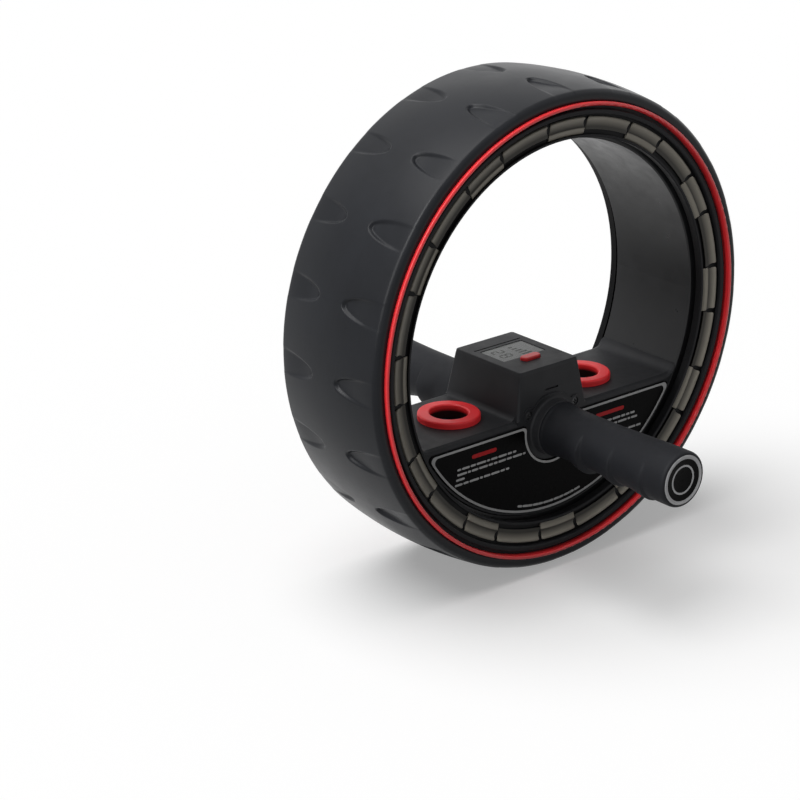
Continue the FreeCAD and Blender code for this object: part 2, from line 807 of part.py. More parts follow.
def saddle_outline(sketch, lower):
    """Section of the saddle with its deck lowered by an amount: hoop seat, hollow deck ends and flat deck."""
    drop = mm.deck_drop + lower
    step_radius = saddle_radius - mm.deck_end_step
    inset = step_radius - mm.deck_round
    centre_down = drop - mm.deck_round
    end_x = (inset * inset - centre_down * centre_down).root()
    step_ratio = step_radius / inset
    foot_ratio = saddle_radius / inset
    return outline(sketch, [
        (end_x * foot_ratio, -(centre_down * foot_ratio), saddle_radius, 1),
        (end_x * step_ratio, -(centre_down * step_ratio)),
        (end_x, -drop, mm.deck_round, -1),
        (-end_x, -drop),
        (-(end_x * step_ratio), -(centre_down * step_ratio), mm.deck_round, -1),
        (-(end_x * foot_ratio), -(centre_down * foot_ratio)),
    ])


def cut_handle_seats(body):
    """Recesses for the collars, the tube's and the lead's passages, cut alike in saddle and counter box."""
    ear_height = handle_height + mm.collar_screw_rise
    for name, side in SIDES:
        face = side_plane(side, saddle_half)
        seat = new_sketch(body, f"{body.Label}_seat_{name}", "XZ_Plane", face)
        circle(seat, mm.collar_plate_radius + mm.seat_gap, ZERO, handle_height)
        extrude(body, "Pocket", f"{body.Label}_seat_cut_{name}", seat, mm.collar_plate, reverse=side == BACK)
        low, length = from_side(side, saddle_half - mm.collar_plate, saddle_half + mm.overrun)
        for index, offset in enumerate((-mm.collar_screw_offset, mm.collar_screw_offset)):
            rod(body, "Subtractive", f"{body.Label}_ear_{name}_{index}", mm.collar_ear_radius + mm.seat_gap,
                length, (offset, low, ear_height), ALONG_Y)
    bore_half = saddle_half + mm.overrun
    rod(body, "Subtractive", f"{body.Label}_bore", mm.tube_radius + mm.seat_gap, bore_half * 2,
        (ZERO, -bore_half, handle_height), ALONG_Y)
    hole_foot = handle_height - mm.cover_notch - mm.cavity_inset
    rod(body, "Subtractive", f"{body.Label}_lead_hole", mm.lead_hole_radius,
        pod_floor - hole_foot + mm.overrun, (mm.lead_offset, mm.sensor_offset, hole_foot))


def make_saddle():
    """Bridge across the lower hoop with its deck, sockets and side cavities."""
    body = new_body("saddle")
    block_half = saddle_half - mm.deck_edge_round
    section = saddle_outline(new_sketch(body, "saddle_section", "XZ_Plane"), ZERO)
    extrude(body, "Pad", "saddle_block", section, block_half * 2, symmetric=True)
    foot_low = deck - mm.deck_foot
    for name, side in SIDES:
        levels = []
        for index, (out_share, in_share) in enumerate(EDGE_SHARES):
            place = side_plane(side, saddle_half - mm.deck_edge_round * out_share)
            level = new_sketch(body, f"deck_edge_{name}_{index}", "XZ_Plane", place)
            levels.append(saddle_outline(level, mm.deck_edge_round * in_share if in_share else ZERO))
        edge = body.newObject("PartDesign::AdditiveLoft", f"deck_edge_{name}")
        edge.Profile = levels[0]
        edge.Sections = levels[1:]
        edge.Ruled = True
        low, length = from_side(side, block_half - mm.overrun, saddle_half)
        solid(body, "AdditiveBox", f"pod_foot_{name}",
              {"Length": mm.pod_half_width * 2, "Width": length, "Height": mm.deck_foot},
              (-mm.pod_half_width, low, foot_low))
    flare_slope = mm.pod_flare * mm.pod_side_slope_share
    flare_round = mm.pod_flare * mm.flare_round_share
    flare_out = mm.pod_half_width + mm.pod_flare
    flare_in = mm.pod_half_width - flare_slope + mm.seat_gap
    for name, side in (("left", -1), ("right", 1)):
        flare = outline(new_sketch(body, f"flare_section_{name}", "XZ_Plane"), [
            (mm.pod_half_width * side, deck),
            (mm.pod_half_width * side, deck - mm.overrun),
            (flare_out * side, deck - mm.overrun),
            (flare_out * side, deck),
            (flare_in * side, deck + mm.pod_flare, flare_round, -side),
        ])
        extrude(body, "Pad", f"flare_{name}", flare, (saddle_half - mm.deck_edge_round) * 2, symmetric=True)
    for name, side in SIDES:
        face = side_plane(side, saddle_half)
        rebate = cover_outline(new_sketch(body, f"rebate_outline_{name}", "XZ_Plane", face), mm.seat_gap)
        extrude(body, "Pocket", f"rebate_{name}", rebate, mm.cover_sink, reverse=side == BACK)
        cavity = cover_outline(new_sketch(body, f"cavity_outline_{name}", "XZ_Plane", face), -mm.cavity_inset)
        extrude(body, "Pocket", f"cavity_{name}", cavity, saddle_half - mm.web_half, reverse=side == BACK)
    socket_floor = deck - mm.socket_depth
    spigot = mm.socket_radius + mm.grommet_spigot_wall + mm.seat_gap
    for name, side in (("left", -1), ("right", 1)):
        across = mm.socket_offset * side
        rod(body, "Additive", f"socket_wall_{name}", mm.socket_radius + mm.socket_wall,
            mm.socket_depth + mm.socket_floor, (across, ZERO, socket_floor - mm.socket_floor))
        rod(body, "Subtractive", f"socket_{name}", mm.socket_radius, mm.socket_depth + mm.overrun,
            (across, ZERO, socket_floor))
        rod(body, "Subtractive", f"spigot_seat_{name}", spigot, mm.grommet_spigot + mm.overrun,
            (across, ZERO, deck - mm.grommet_spigot))
    cut_handle_seats(body)
    thread = mm.saddle_screw_radius + mm.seat_gap
    reach = hoop_outer - mm.saddle_screw_head_height - mm.saddle_screw_length - mm.seat_gap
    for index, turn in saddle_screw_turns():
        radial_rod(body, "SubtractiveCylinder", f"saddle_thread_{index}",
                   {"Radius": thread, "Height": hoop_inner - reach}, reach, turn)


def make_counter_box():
    """Tapered box on the deck that holds the counter, with pillars for its board."""
    body = new_body("counter_box")
    base = rounded_rectangle(new_sketch(body, "pod_base", "XY_Plane", deck), mm.pod_half_width, saddle_half,
                             mm.pod_corner)
    top = rounded_rectangle(new_sketch(body, "pod_rim", "XY_Plane", pod_top), pod_top_half_width,
                            pod_top_half_depth, mm.pod_corner)
    pod = body.newObject("PartDesign::AdditiveLoft", "pod")
    pod.Profile = base
    pod.Sections = [top]
    pod.Ruled = True
    inside = rounded_rectangle(new_sketch(body, "pod_cavity_outline", "XY_Plane", pod_top), cavity_half_width,
                               cavity_half_depth, mm.pod_corner)
    extrude(body, "Pocket", "pod_cavity", inside, mm.pod_depth)
    slot_out = saddle_half - (mm.pod_height - mm.slot_drop) * mm.pod_slope_share
    solid(body, "SubtractiveBox", "front_slot",
          {"Length": mm.slot_half_width * 2, "Width": mm.slot_depth + mm.overrun, "Height": mm.slot_height},
          (mm.slot_offset - mm.slot_half_width, -(slot_out + mm.overrun), pod_top - mm.slot_drop))
    for index, (across, along) in enumerate(pillar_places()):
        rod(body, "Additive", f"pillar_{index}", mm.pillar_radius, board_under - pod_floor + mm.seat_gap,
            (across, along, pod_floor - mm.seat_gap))
        rod(body, "Subtractive", f"pillar_hole_{index}", mm.board_screw_radius + mm.seat_gap,
            mm.board_screw_length, (across, along, board_under - mm.board_screw_length + mm.overrun))
    cut_handle_seats(body)
    ear_height = handle_height + mm.collar_screw_rise
    for name, side in SIDES:
        low, length = from_side(side, saddle_half - mm.collar_screw_length, saddle_half + mm.overrun)
        for index, offset in enumerate((-mm.collar_screw_offset, mm.collar_screw_offset)):
            rod(body, "Subtractive", f"ear_hole_{name}_{index}", mm.collar_screw_radius + mm.seat_gap, length,
                (offset, low, ear_height), ALONG_Y)


def pillar_places():
    """Where the board's four screws stand in the counter box."""
    across = cavity_half_width - mm.pillar_inset
    along = cavity_half_depth - mm.pillar_inset
    return [(across * x, along * y) for x in (-1, 1) for y in (-1, 1)]


def make_cover(name, side):
    """Plate over the saddle's side cavity, with its front edge eased."""
    body = new_body(f"cover_{name}")
    back = saddle_half - mm.cover_sink
    straight = mm.cover_thickness - mm.cover_edge_break
    plate = cover_outline(new_sketch(body, f"cover_outline_{name}", "XZ_Plane", side_plane(side, back)), ZERO)
    extrude(body, "Pad", f"cover_plate_{name}", plate, straight, reverse=side == BACK)
    face = side_plane(side, back + straight)
    wide = cover_outline(new_sketch(body, f"cover_edge_{name}", "XZ_Plane", face), ZERO)
    near = side_plane(side, back + mm.cover_thickness)
    narrow = cover_outline(new_sketch(body, f"cover_face_{name}", "XZ_Plane", near), -mm.cover_edge_break)
    eased = body.newObject("PartDesign::AdditiveLoft", f"cover_bevel_{name}")
    eased.Profile = wide
    eased.Sections = [narrow]
    eased.Ruled = True


def make_grommet(name, side):
    """Flat-topped ring with eased edges and a spigot that plugs into the deck's socket."""
    body = new_body(f"grommet_{name}", deck)
    body.Placement.Base.x = mm.socket_offset.value * side
    body.setExpression("Placement.Base.x", (mm.socket_offset * side).text)
    inner = mm.socket_radius
    spigot = inner + mm.grommet_spigot_wall
    ease = mm.grommet_round
    section = outline(new_sketch(body, f"grommet_section_{name}", "XZ_Plane"), [
        (inner, -mm.grommet_spigot),
        (spigot, -mm.grommet_spigot),
        (spigot, ZERO),
        (mm.grommet_radius, ZERO),
        (mm.grommet_radius, mm.grommet_height - ease),
        (mm.grommet_radius - ease, mm.grommet_height, ease, 1),
        (inner + ease, mm.grommet_height),
        (inner, mm.grommet_height - ease, ease, 1),
    ])
    revolve(body, f"grommet_ring_{name}", section)


def make_handle_tube():
    """Steel tube through the saddle that carries both grips."""
    body = new_body("handle_tube", handle_height)
    section = outline(new_sketch(body, "tube_section", "XY_Plane"), [
        (mm.tube_radius - mm.tube_wall, -tube_half),
        (mm.tube_radius, -tube_half),
        (mm.tube_radius, tube_half),
        (mm.tube_radius - mm.tube_wall, tube_half),
    ])
    revolve(body, "tube", section)


def make_collar(name, side):
    """Plate with two ears, sunk flush in the saddle's face, and a short neck round the tube."""
    body = new_body(f"collar_{name}", handle_height)
    bore = mm.tube_radius + mm.seat_gap
    back = saddle_half - mm.collar_plate
    steps = [
        (bore, back),
        (mm.collar_plate_radius, back),
        (mm.collar_plate_radius, saddle_half),
        (mm.collar_radius + mm.collar_fillet, saddle_half),
        (mm.collar_radius, saddle_half + mm.collar_fillet, mm.collar_fillet, -side),
        (mm.collar_radius, collar_face - mm.edge_break),
        (mm.collar_radius - mm.edge_break, collar_face),
        (bore, collar_face),
    ]
    steps = [(step[0], step[1] * side, *step[2:]) for step in steps]
    section = outline(new_sketch(body, f"collar_section_{name}", "XY_Plane"), steps)
    revolve(body, f"collar_neck_{name}", section)
    offsets = (-mm.collar_screw_offset, mm.collar_screw_offset)
    for index, offset in enumerate(offsets):
        low, length = from_side(side, back, saddle_half)
        rod(body, "Additive", f"collar_ear_{name}_{index}", mm.collar_ear_radius, length,
            (offset, low, mm.collar_screw_rise), ALONG_Y)
    for index, offset in enumerate(offsets):
        low, length = from_side(side, back - mm.overrun, saddle_half + mm.overrun)
        rod(body, "Subtractive", f"collar_hole_{name}_{index}", mm.collar_screw_radius + mm.seat_gap, length,
            (offset, low, mm.collar_screw_rise), ALONG_Y)
        low, length = from_side(side, saddle_half - mm.collar_screw_sink, saddle_half + mm.overrun)
        rod(body, "Subtractive", f"collar_sink_{name}_{index}", mm.collar_screw_head_radius + mm.running_gap,
            length, (offset, low, mm.collar_screw_rise), ALONG_Y)


def make_collar_screws(name, side):
    """The two screws through a collar's ears, their heads sunk in the plate."""
    body = new_body(f"collar_screws_{name}", handle_height + mm.collar_screw_rise)
    seat = saddle_half - mm.collar_screw_sink
    tip = saddle_half - mm.collar_screw_length + mm.seat_gap
    for index, offset in enumerate((-mm.collar_screw_offset, mm.collar_screw_offset)):
        low, length = from_side(side, tip, seat)
        rod(body, "Additive", f"collar_screw_shank_{name}_{index}", mm.collar_screw_radius, length,
            (offset, low, ZERO), ALONG_Y)
        low, length = from_side(side, seat, seat + mm.collar_screw_head_height)
        rod(body, "Additive", f"collar_screw_head_{name}_{index}", mm.collar_screw_head_radius, length,
            (offset, low, ZERO), ALONG_Y)


def make_grip(name, side):
    """Soft grip with finger ridges underneath, bored for the tube and recessed for the end cap."""
    body = new_body(f"grip_{name}", handle_height)
    length = grip_end - grip_start
    rings = []
    for index, (along_share, radius_share, drop_share) in enumerate(GRIP_SHARES):
        place = grip_start + length * along_share
        sketch = new_sketch(body, f"grip_ring_{name}_{index}", "XZ_Plane", side_plane(side, place))
        drop = -(mm.grip_radius * drop_share) if drop_share else ZERO
        rings.append(circle(sketch, mm.grip_radius * radius_share, ZERO, drop))
    sleeve = body.newObject("PartDesign::AdditiveLoft", f"grip_sleeve_{name}")
    sleeve.Profile = rings[0]
    sleeve.Sections = rings[1:]
    sleeve.Ruled = True
    low, span = from_side(side, grip_start - mm.overrun, grip_end + mm.overrun)
    rod(body, "Subtractive", f"grip_bore_{name}", mm.tube_radius + mm.seat_gap, span, (ZERO, low, ZERO),
        ALONG_Y)
    low, span = from_side(side, tube_half, grip_end + mm.overrun)
    rod(body, "Subtractive", f"grip_recess_{name}", mm.cap_radius + mm.seat_gap, span, (ZERO, low, ZERO),
        ALONG_Y)


def make_end_cap(name, side):
    """Plug in the end of the tube with a dished face, and the light ring set round it."""
    cap = new_body(f"end_cap_{name}", handle_height)
    face = mm.handle_reach - mm.cap_ring_rise
    flange = tube_half + mm.seat_gap
    spigot = mm.tube_radius - mm.tube_wall - mm.seat_gap
    ring_inner = mm.cap_radius - mm.cap_ring_width
    ledge = face - mm.cap_ring_sink
    dish_edge = ring_inner - mm.cap_rim
    dish_round = (dish_edge * dish_edge + mm.cap_dish * mm.cap_dish) / (mm.cap_dish * 2)
    steps = [
        (ZERO, flange - mm.cap_spigot),
        (spigot, flange - mm.cap_spigot),
        (spigot, flange),
        (mm.cap_radius, flange),
        (mm.cap_radius, ledge),
        (ring_inner, ledge),
        (ring_inner, face),
        (dish_edge, face),
        (ZERO, face - mm.cap_dish, dish_round, -side),
    ]
    steps = [(step[0], step[1] * side, *step[2:]) for step in steps]
    revolve(cap, f"cap_{name}", outline(new_sketch(cap, f"cap_section_{name}", "XY_Plane"), steps))
    ring = new_body(f"cap_ring_{name}", handle_height)
    top = mm.handle_reach
    steps = [
        (ring_inner + mm.seat_gap, ledge),
        (mm.cap_radius - mm.seat_gap, ledge),
        (mm.cap_radius - mm.seat_gap, top - mm.cap_ring_rise),
        (mm.cap_radius - mm.seat_gap - mm.cap_ring_rise, top),
        (ring_inner + mm.seat_gap + mm.cap_ring_rise, top),
        (ring_inner + mm.seat_gap, top - mm.cap_ring_rise),
    ]
    steps = [(across, up * side) for across, up in steps]
    section = outline(new_sketch(ring, f"cap_ring_section_{name}", "XY_Plane"), steps)
    revolve(ring, f"cap_band_{name}", section)


def edges_at_height(feature, height):
    """Names of a feature's edges that lie level at a height."""
    found = []
    for number, edge in enumerate(feature.Shape.Edges, start=1):
        box = edge.BoundBox
        if abs(box.ZMin - height.value) + abs(box.ZMax - height.value) < SIZES["seat_gap"]:
            found.append(f"Edge{number}")
    return found


def round_top(body, name, feature, height, radius):
    """Round the edges round the top of a feature."""
    doc.recompute()
    fillet = body.newObject("PartDesign::Fillet", name)
    fillet.Base = (feature, edges_at_height(feature, height))
    fillet.Radius = radius.value
    fillet.setExpression("Radius", radius.text)
    return fillet


def make_panel():
    """Top of the counter box with its window opening, button slot, seam and locating skirt."""
    body = new_body("counter_panel")
    under = rounded_rectangle(new_sketch(body, "panel_under", "XY_Plane", pod_top), pod_top_half_width,
                              pod_top_half_depth, mm.pod_corner)
    slope = mm.panel_thickness * mm.pod_slope_share
    levels = []
    for index, (down_share, in_share) in enumerate(EDGE_SHARES):
        inset = slope + mm.panel_round * in_share
        level = new_sketch(body, f"panel_level_{index}", "XY_Plane", panel_top - mm.panel_round * down_share)
        levels.append(rounded_rectangle(level, pod_top_half_width - inset, pod_top_half_depth - inset,
                                        mm.pod_corner))
    plate = body.newObject("PartDesign::AdditiveLoft", "panel_plate")
    plate.Profile = under
    plate.Sections = levels
    plate.Ruled = True
    skirt = new_sketch(body, "skirt_outline", "XY_Plane", pod_top)
    out_width = cavity_half_width - mm.seat_gap
    out_depth = cavity_half_depth - mm.seat_gap
    rounded_rectangle(skirt, out_width, out_depth, mm.pod_corner)
    rounded_rectangle(skirt, out_width - mm.panel_skirt_wall, out_depth - mm.panel_skirt_wall,
                      mm.pod_corner - mm.panel_skirt_wall)
    extrude(body, "Pad", "skirt", skirt, mm.panel_skirt, reverse=True)
    sink = rounded_rectangle(new_sketch(body, "window_seat_outline", "XY_Plane", panel_top),
                             mm.window_half_width + mm.seat_gap, mm.window_half_depth + mm.seat_gap,
                             mm.window_corner, mm.window_offset)
    extrude(body, "Pocket", "window_seat", sink, mm.window_thickness + mm.window_sink)
    opening = rounded_rectangle(new_sketch(body, "window_opening_outline", "XY_Plane", panel_top),
                                mm.window_half_width - mm.window_ledge,
                                mm.window_half_depth - mm.window_ledge, mm.window_corner, mm.window_offset)
    extrude(body, "Pocket", "window_opening", opening, mm.panel_thickness + mm.overrun)
    slot = rounded_rectangle(new_sketch(body, "button_slot_outline", "XY_Plane", panel_top),
                             mm.button_half_width + mm.running_gap, mm.button_half_depth + mm.running_gap,
                             mm.button_corner, -mm.button_offset)
    extrude(body, "Pocket", "button_slot", slot, mm.panel_thickness + mm.overrun)
    seam = new_sketch(body, "seam_outline", "XY_Plane", panel_top)
    low, high = mm.seam_offset - mm.seam_half_depth, mm.seam_offset + mm.seam_half_depth
    outline(seam, [
        (-mm.seam_half_width, low),
        (mm.seam_half_width, low),
        (mm.seam_half_width, high),
        (-mm.seam_half_width, high),
    ])
    extrude(body, "Pocket", "seam", seam, mm.seam_depth)


def make_button():
    """Oval push button, kept in the panel by its flange."""
    body = new_body("reset_button")
    flange_top = pod_top - mm.running_gap
    flange_low = flange_top - mm.button_flange_thickness
    cap_top = panel_top + mm.button_proud
    flange = rounded_rectangle(new_sketch(body, "button_flange_outline", "XY_Plane", flange_low),
                               mm.button_half_width + mm.button_flange,
                               mm.button_half_depth + mm.button_flange, mm.button_corner, -mm.button_offset)
    extrude(body, "Pad", "button_flange", flange, mm.button_flange_thickness)
    cap = rounded_rectangle(new_sketch(body, "button_cap_outline", "XY_Plane", flange_low),
                            mm.button_half_width, mm.button_half_depth, mm.button_corner, -mm.button_offset)
    feature = extrude(body, "Pad", "button_cap", cap, cap_top - flange_low)
    round_top(body, "button_edge", feature, cap_top, mm.button_round)


def make_counter():
    """Display, board, battery and switch inside the counter box."""
    window_low = panel_top - mm.window_sink - mm.window_thickness
    near, far = mm.window_offset - mm.window_half_depth, mm.window_offset + mm.window_half_depth
    window = new_body("display_window")
    pane = rounded_rectangle(new_sketch(window, "pane_outline", "XY_Plane", window_low), mm.window_half_width,
                             mm.window_half_depth, mm.window_corner, mm.window_offset)
    extrude(window, "Pad", "pane", pane, mm.window_thickness)
    block("display_module", (-mm.display_half_width, near, board_top),
          (mm.display_half_width, far, board_top + mm.display_height))
    half_width = cavity_half_width - mm.running_gap
    half_depth = cavity_half_depth - mm.running_gap
    board = new_body("circuit_board")
    plate = rounded_rectangle(new_sketch(board, "board_outline", "XY_Plane", board_under), half_width,
                              half_depth, mm.pod_corner)
    extrude(board, "Pad", "board_plate", plate, mm.board_thickness)
    screws = new_body("board_screws")
    for index, (across, along) in enumerate(pillar_places()):
        rod(board, "Subtractive", f"board_hole_{index}", mm.board_screw_radius + mm.seat_gap,
            mm.board_thickness + mm.overrun * 2, (across, along, board_under - mm.overrun))
        tip = board_top - mm.board_screw_length + mm.overrun
        rod(screws, "Additive", f"board_screw_shank_{index}", mm.board_screw_radius, board_top - tip,
            (across, along, tip))
        rod(screws, "Additive", f"board_screw_head_{index}", mm.board_screw_head_radius,
            mm.board_screw_head_height, (across, along, board_top))
    holder = new_body("battery_holder", board_under)
    holder.Placement.Base.y = mm.cell_offset.value
    holder.setExpression("Placement.Base.y", mm.cell_offset.text)
    depth = mm.holder_floor + mm.cell_thickness + mm.holder_head_room
    inner = mm.cell_radius + mm.running_gap
    section = outline(new_sketch(holder, "holder_section", "XZ_Plane"), [
        (mm.cell_radius / 2, -depth),
        (inner + mm.holder_wall, -depth),
        (inner + mm.holder_wall, ZERO),
        (inner, ZERO),
        (inner, mm.holder_floor - depth),
        (mm.cell_radius / 2, mm.holder_floor - depth),
    ])
    revolve(holder, "holder_cup", section)
    cell = new_body("coin_cell")
    rod(cell, "Additive", "cell_can", mm.cell_radius, mm.cell_thickness,
        (ZERO, mm.cell_offset, board_under - depth + mm.holder_floor))
    switch = new_body("reset_switch")
    half = mm.switch_half
    solid(switch, "AdditiveBox", "switch_case",
          {"Length": half * 2, "Width": half * 2, "Height": mm.switch_height},
          (-half, -mm.button_offset - half, board_top))
    rod(switch, "Additive", "switch_plunger", mm.plunger_radius, mm.switch_height + mm.plunger_height,
        (ZERO, -mm.button_offset, board_top))


def make_roll_sensor():
    """Magnet in the rim, sensor on the floor of the saddle's back cavity and the lead up to the board."""
    low = bore_wall_outer + mm.seat_gap
    half = mm.magnet_half
    block("counter_magnet", (-half, mm.sensor_offset - half, low),
          (half, mm.sensor_offset + half, low + mm.magnet_thickness))
    length = mm.sensor_half_length
    floor = mm.seat_gap - (cavity_radius * cavity_radius - length * length).root()
    thick = mm.sensor_thickness / 2
    block("roll_sensor", (-length, mm.sensor_offset - thick, floor),
          (length, mm.sensor_offset + thick, floor + mm.sensor_thickness))
    bend = SIZES["lead_bend"]
    along = SIZES["sensor_offset"]
    start = FreeCAD.Vector(length.value, along, floor.value + thick.value)
    corner = FreeCAD.Vector(SIZES["lead_offset"], along, start.z)
    end = FreeCAD.Vector(corner.x, along, board_under.value)
    before = corner - FreeCAD.Vector(bend, 0, 0)
    after = corner + FreeCAD.Vector(0, 0, bend)
    centre = corner + FreeCAD.Vector(-bend, 0, bend)
    middle = centre + FreeCAD.Vector(bend, 0, -bend) * math.sqrt(0.5)
    path = Part.Wire([
        Part.LineSegment(start, before).toShape(),
        Part.Arc(before, middle, after).toShape(),
        Part.LineSegment(after, end).toShape(),
    ])
    ring = Part.Wire(Part.Circle(start, FreeCAD.Vector(1, 0, 0), SIZES["lead_radius"]).toShape())
    lead = doc.addObject("Part::Feature", "sensor_lead")
    lead.Label = "sensor_lead"
    lead.Shape = path.makePipeShell([ring], True, False)
    lead.Placement = FreeCAD.Placement()
    pieces["sensor_lead"] = lead


make_tyre()
for side_name, side_sign in SIDES:
    make_accent_ring(side_name, side_sign)
    make_rim(side_name, side_sign)
    make_trim("long", side_name, side_sign)
    make_trim("short", side_name, side_sign)
    make_bearing(side_name, side_sign)
    make_cover(side_name, side_sign)
    make_collar(side_name, side_sign)
    make_collar_screws(side_name, side_sign)
    make_grip(side_name, side_sign)
    make_end_cap(side_name, side_sign)
make_rim_screws()
make_hoop()
make_saddle()
make_counter_box()
make_saddle_screws()
make_grommet("left", -1)
make_grommet("right", 1)
make_handle_tube()
make_panel()
make_button()
make_counter()
make_roll_sensor()
doc.recompute()

for thing in doc.Objects:
    if "Invalid" in thing.State or "Error" in thing.State:
        raise RuntimeError(f"{thing.Label} failed: {thing.State}")
broken = [label for label, piece in pieces.items() if not piece.Shape.Solids or not piece.Shape.isValid()]
if broken:
    raise RuntimeError(f"no valid shape: {broken}")

os.makedirs("parts", exist_ok=True)
for label, piece in pieces.items():
    piece.Shape.exportStep(f"parts/{piece.Label}.step")
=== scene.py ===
from math import atan2, cos, exp, hypot, pi, radians, sin, sqrt, tau

import bmesh
import bpy
from mathutils import Matrix, Vector


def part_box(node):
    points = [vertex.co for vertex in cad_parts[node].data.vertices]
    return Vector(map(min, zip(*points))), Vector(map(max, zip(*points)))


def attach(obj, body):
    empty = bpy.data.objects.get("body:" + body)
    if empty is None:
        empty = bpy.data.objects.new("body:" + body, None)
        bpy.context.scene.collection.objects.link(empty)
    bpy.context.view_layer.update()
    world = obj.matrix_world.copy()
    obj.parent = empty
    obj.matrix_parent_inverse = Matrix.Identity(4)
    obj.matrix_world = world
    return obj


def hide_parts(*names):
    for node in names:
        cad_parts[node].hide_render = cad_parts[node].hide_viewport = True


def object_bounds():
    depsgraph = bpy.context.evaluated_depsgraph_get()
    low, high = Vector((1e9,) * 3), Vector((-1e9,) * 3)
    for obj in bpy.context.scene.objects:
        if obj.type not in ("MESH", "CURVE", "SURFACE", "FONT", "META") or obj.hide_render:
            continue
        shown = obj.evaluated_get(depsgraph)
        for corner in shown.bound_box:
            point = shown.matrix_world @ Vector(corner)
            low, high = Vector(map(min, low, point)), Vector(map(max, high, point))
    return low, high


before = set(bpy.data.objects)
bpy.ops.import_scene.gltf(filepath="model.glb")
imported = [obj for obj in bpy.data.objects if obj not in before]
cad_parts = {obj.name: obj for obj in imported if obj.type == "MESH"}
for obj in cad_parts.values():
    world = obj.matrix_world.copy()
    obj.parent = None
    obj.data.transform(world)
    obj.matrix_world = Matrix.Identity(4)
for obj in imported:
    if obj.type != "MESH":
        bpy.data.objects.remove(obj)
CAD_BOX = [list(corner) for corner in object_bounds()]

bl_info = {
    "name": "Ab wheel roller",
    "version": (1, 0, 0),
    "blender": (4, 5, 0),
    "location": "View3D > Sidebar > Roller",
    "description": "Dresses the hubless ab wheel roller: tyre, trim, grips, cover prints, counter and finishes",
    "category": "Object",
}

MM = 0.001
SIDES = (("front", -1), ("back", 1))


class RollerSizes(bpy.types.PropertyGroup):
    """Sizes of the dressed pieces, in metres."""

    crown_radius: bpy.props.FloatProperty(
        name="Crown radius", description="Radius of the tyre at its middle", default=0.160, unit="LENGTH")
    crown_drop: bpy.props.FloatProperty(
        name="Crown drop", description="Fall of the tread to its edge", default=0.0029, unit="LENGTH")
    tread_half: bpy.props.FloatProperty(
        name="Tread half width", description="Tyre's middle to the tread's edge", default=0.0401, unit="LENGTH")
    tyre_half: bpy.props.FloatProperty(
        name="Tyre half width", description="Tyre's middle to its side", default=0.046, unit="LENGTH")
    side_top: bpy.props.FloatProperty(
        name="Side top", description="Radius where shoulder and side meet", default=0.1548, unit="LENGTH")
    cut_count: bpy.props.IntProperty(
        name="Tread cuts", description="Cuts along each edge of the tread", default=20, min=3)
    cut_turn: bpy.props.FloatProperty(
        name="Turn of the cuts", description="Turn of the first cut", default=radians(-1.5), subtype="ANGLE")
    cut_half: bpy.props.FloatProperty(
        name="Cut half width", description="Half width of a cut at the shoulder", default=0.00825, unit="LENGTH")
    cut_length: bpy.props.FloatProperty(
        name="Cut length", description="Shoulder to the tip of a cut", default=0.0345, unit="LENGTH")
    cut_depth: bpy.props.FloatProperty(
        name="Cut depth", description="Depth of a cut below the tread", default=0.0019, unit="LENGTH")
    cut_edge: bpy.props.FloatProperty(
        name="Cut edge", description="Half width of a cut's sloping wall", default=0.0012, unit="LENGTH")
    trim_count: bpy.props.IntProperty(
        name="Trim pairs", description="Short and long trim pieces on each side", default=12, min=3)
    trim_short: bpy.props.FloatProperty(
        name="Short trim", description="Angle of a short trim piece", default=radians(12.0), subtype="ANGLE")
    trim_long: bpy.props.FloatProperty(
        name="Long trim", description="Angle of a long trim piece", default=radians(15.6), subtype="ANGLE")
    trim_round: bpy.props.FloatProperty(
        name="Trim rounding", description="Radius of the trim pieces' ends", default=0.0009, unit="LENGTH")
    handle_height: bpy.props.FloatProperty(
        name="Handle height", description="Height of the handles' axis", default=-0.0653, unit="LENGTH")
    grip_radius: bpy.props.FloatProperty(
        name="Grip radius", description="Radius of a grip at its outer end", default=0.0182, unit="LENGTH")
    ridge_height: bpy.props.FloatProperty(
        name="Finger ridge", description="Height of a grip's first finger ridge", default=0.0032, unit="LENGTH")
    print_line: bpy.props.FloatProperty(
        name="Print line", description="Width of the line round a cover", default=0.0015, unit="LENGTH")
    digit_height: bpy.props.FloatProperty(
        name="Digit height", description="Height of the counter's digits", default=0.0085, unit="LENGTH")


class RollerColours(bpy.types.PropertyGroup):
    """Colours of the finishes."""

    tyre: bpy.props.FloatVectorProperty(
        name="Tyre", description="Tyre rubber", default=(0.0060, 0.0068, 0.0090), subtype="COLOR", min=0, max=1)
    shell: bpy.props.FloatVectorProperty(
        name="Shell", description="Plastic of hoop, saddle and rim",
        default=(0.0235, 0.024, 0.0262), subtype="COLOR", min=0, max=1)
    red: bpy.props.FloatVectorProperty(
        name="Red", description="Accent rings, grommets and button",
        default=(0.74, 0.026, 0.032), subtype="COLOR", min=0, max=1)
    trim: bpy.props.FloatVectorProperty(
        name="Trim", description="Trim pieces round the rim",
        default=(0.250, 0.232, 0.196), subtype="COLOR", min=0, max=1)
    cover: bpy.props.FloatVectorProperty(
        name="Cover", description="Black film of the covers",
        default=(0.0018, 0.0017, 0.0018), subtype="COLOR", min=0, max=1)
    grip: bpy.props.FloatVectorProperty(
        name="Grip", description="Grip rubber", default=(0.0090, 0.0095, 0.0115), subtype="COLOR", min=0, max=1)
    print_grey: bpy.props.FloatVectorProperty(
        name="Print grey", description="Lines printed on the covers",
        default=(0.42, 0.42, 0.42), subtype="COLOR", min=0, max=1)
    display: bpy.props.FloatVectorProperty(
        name="Display", description="Ground of the counter's display",
        default=(0.25, 0.255, 0.25), subtype="COLOR", min=0, max=1)


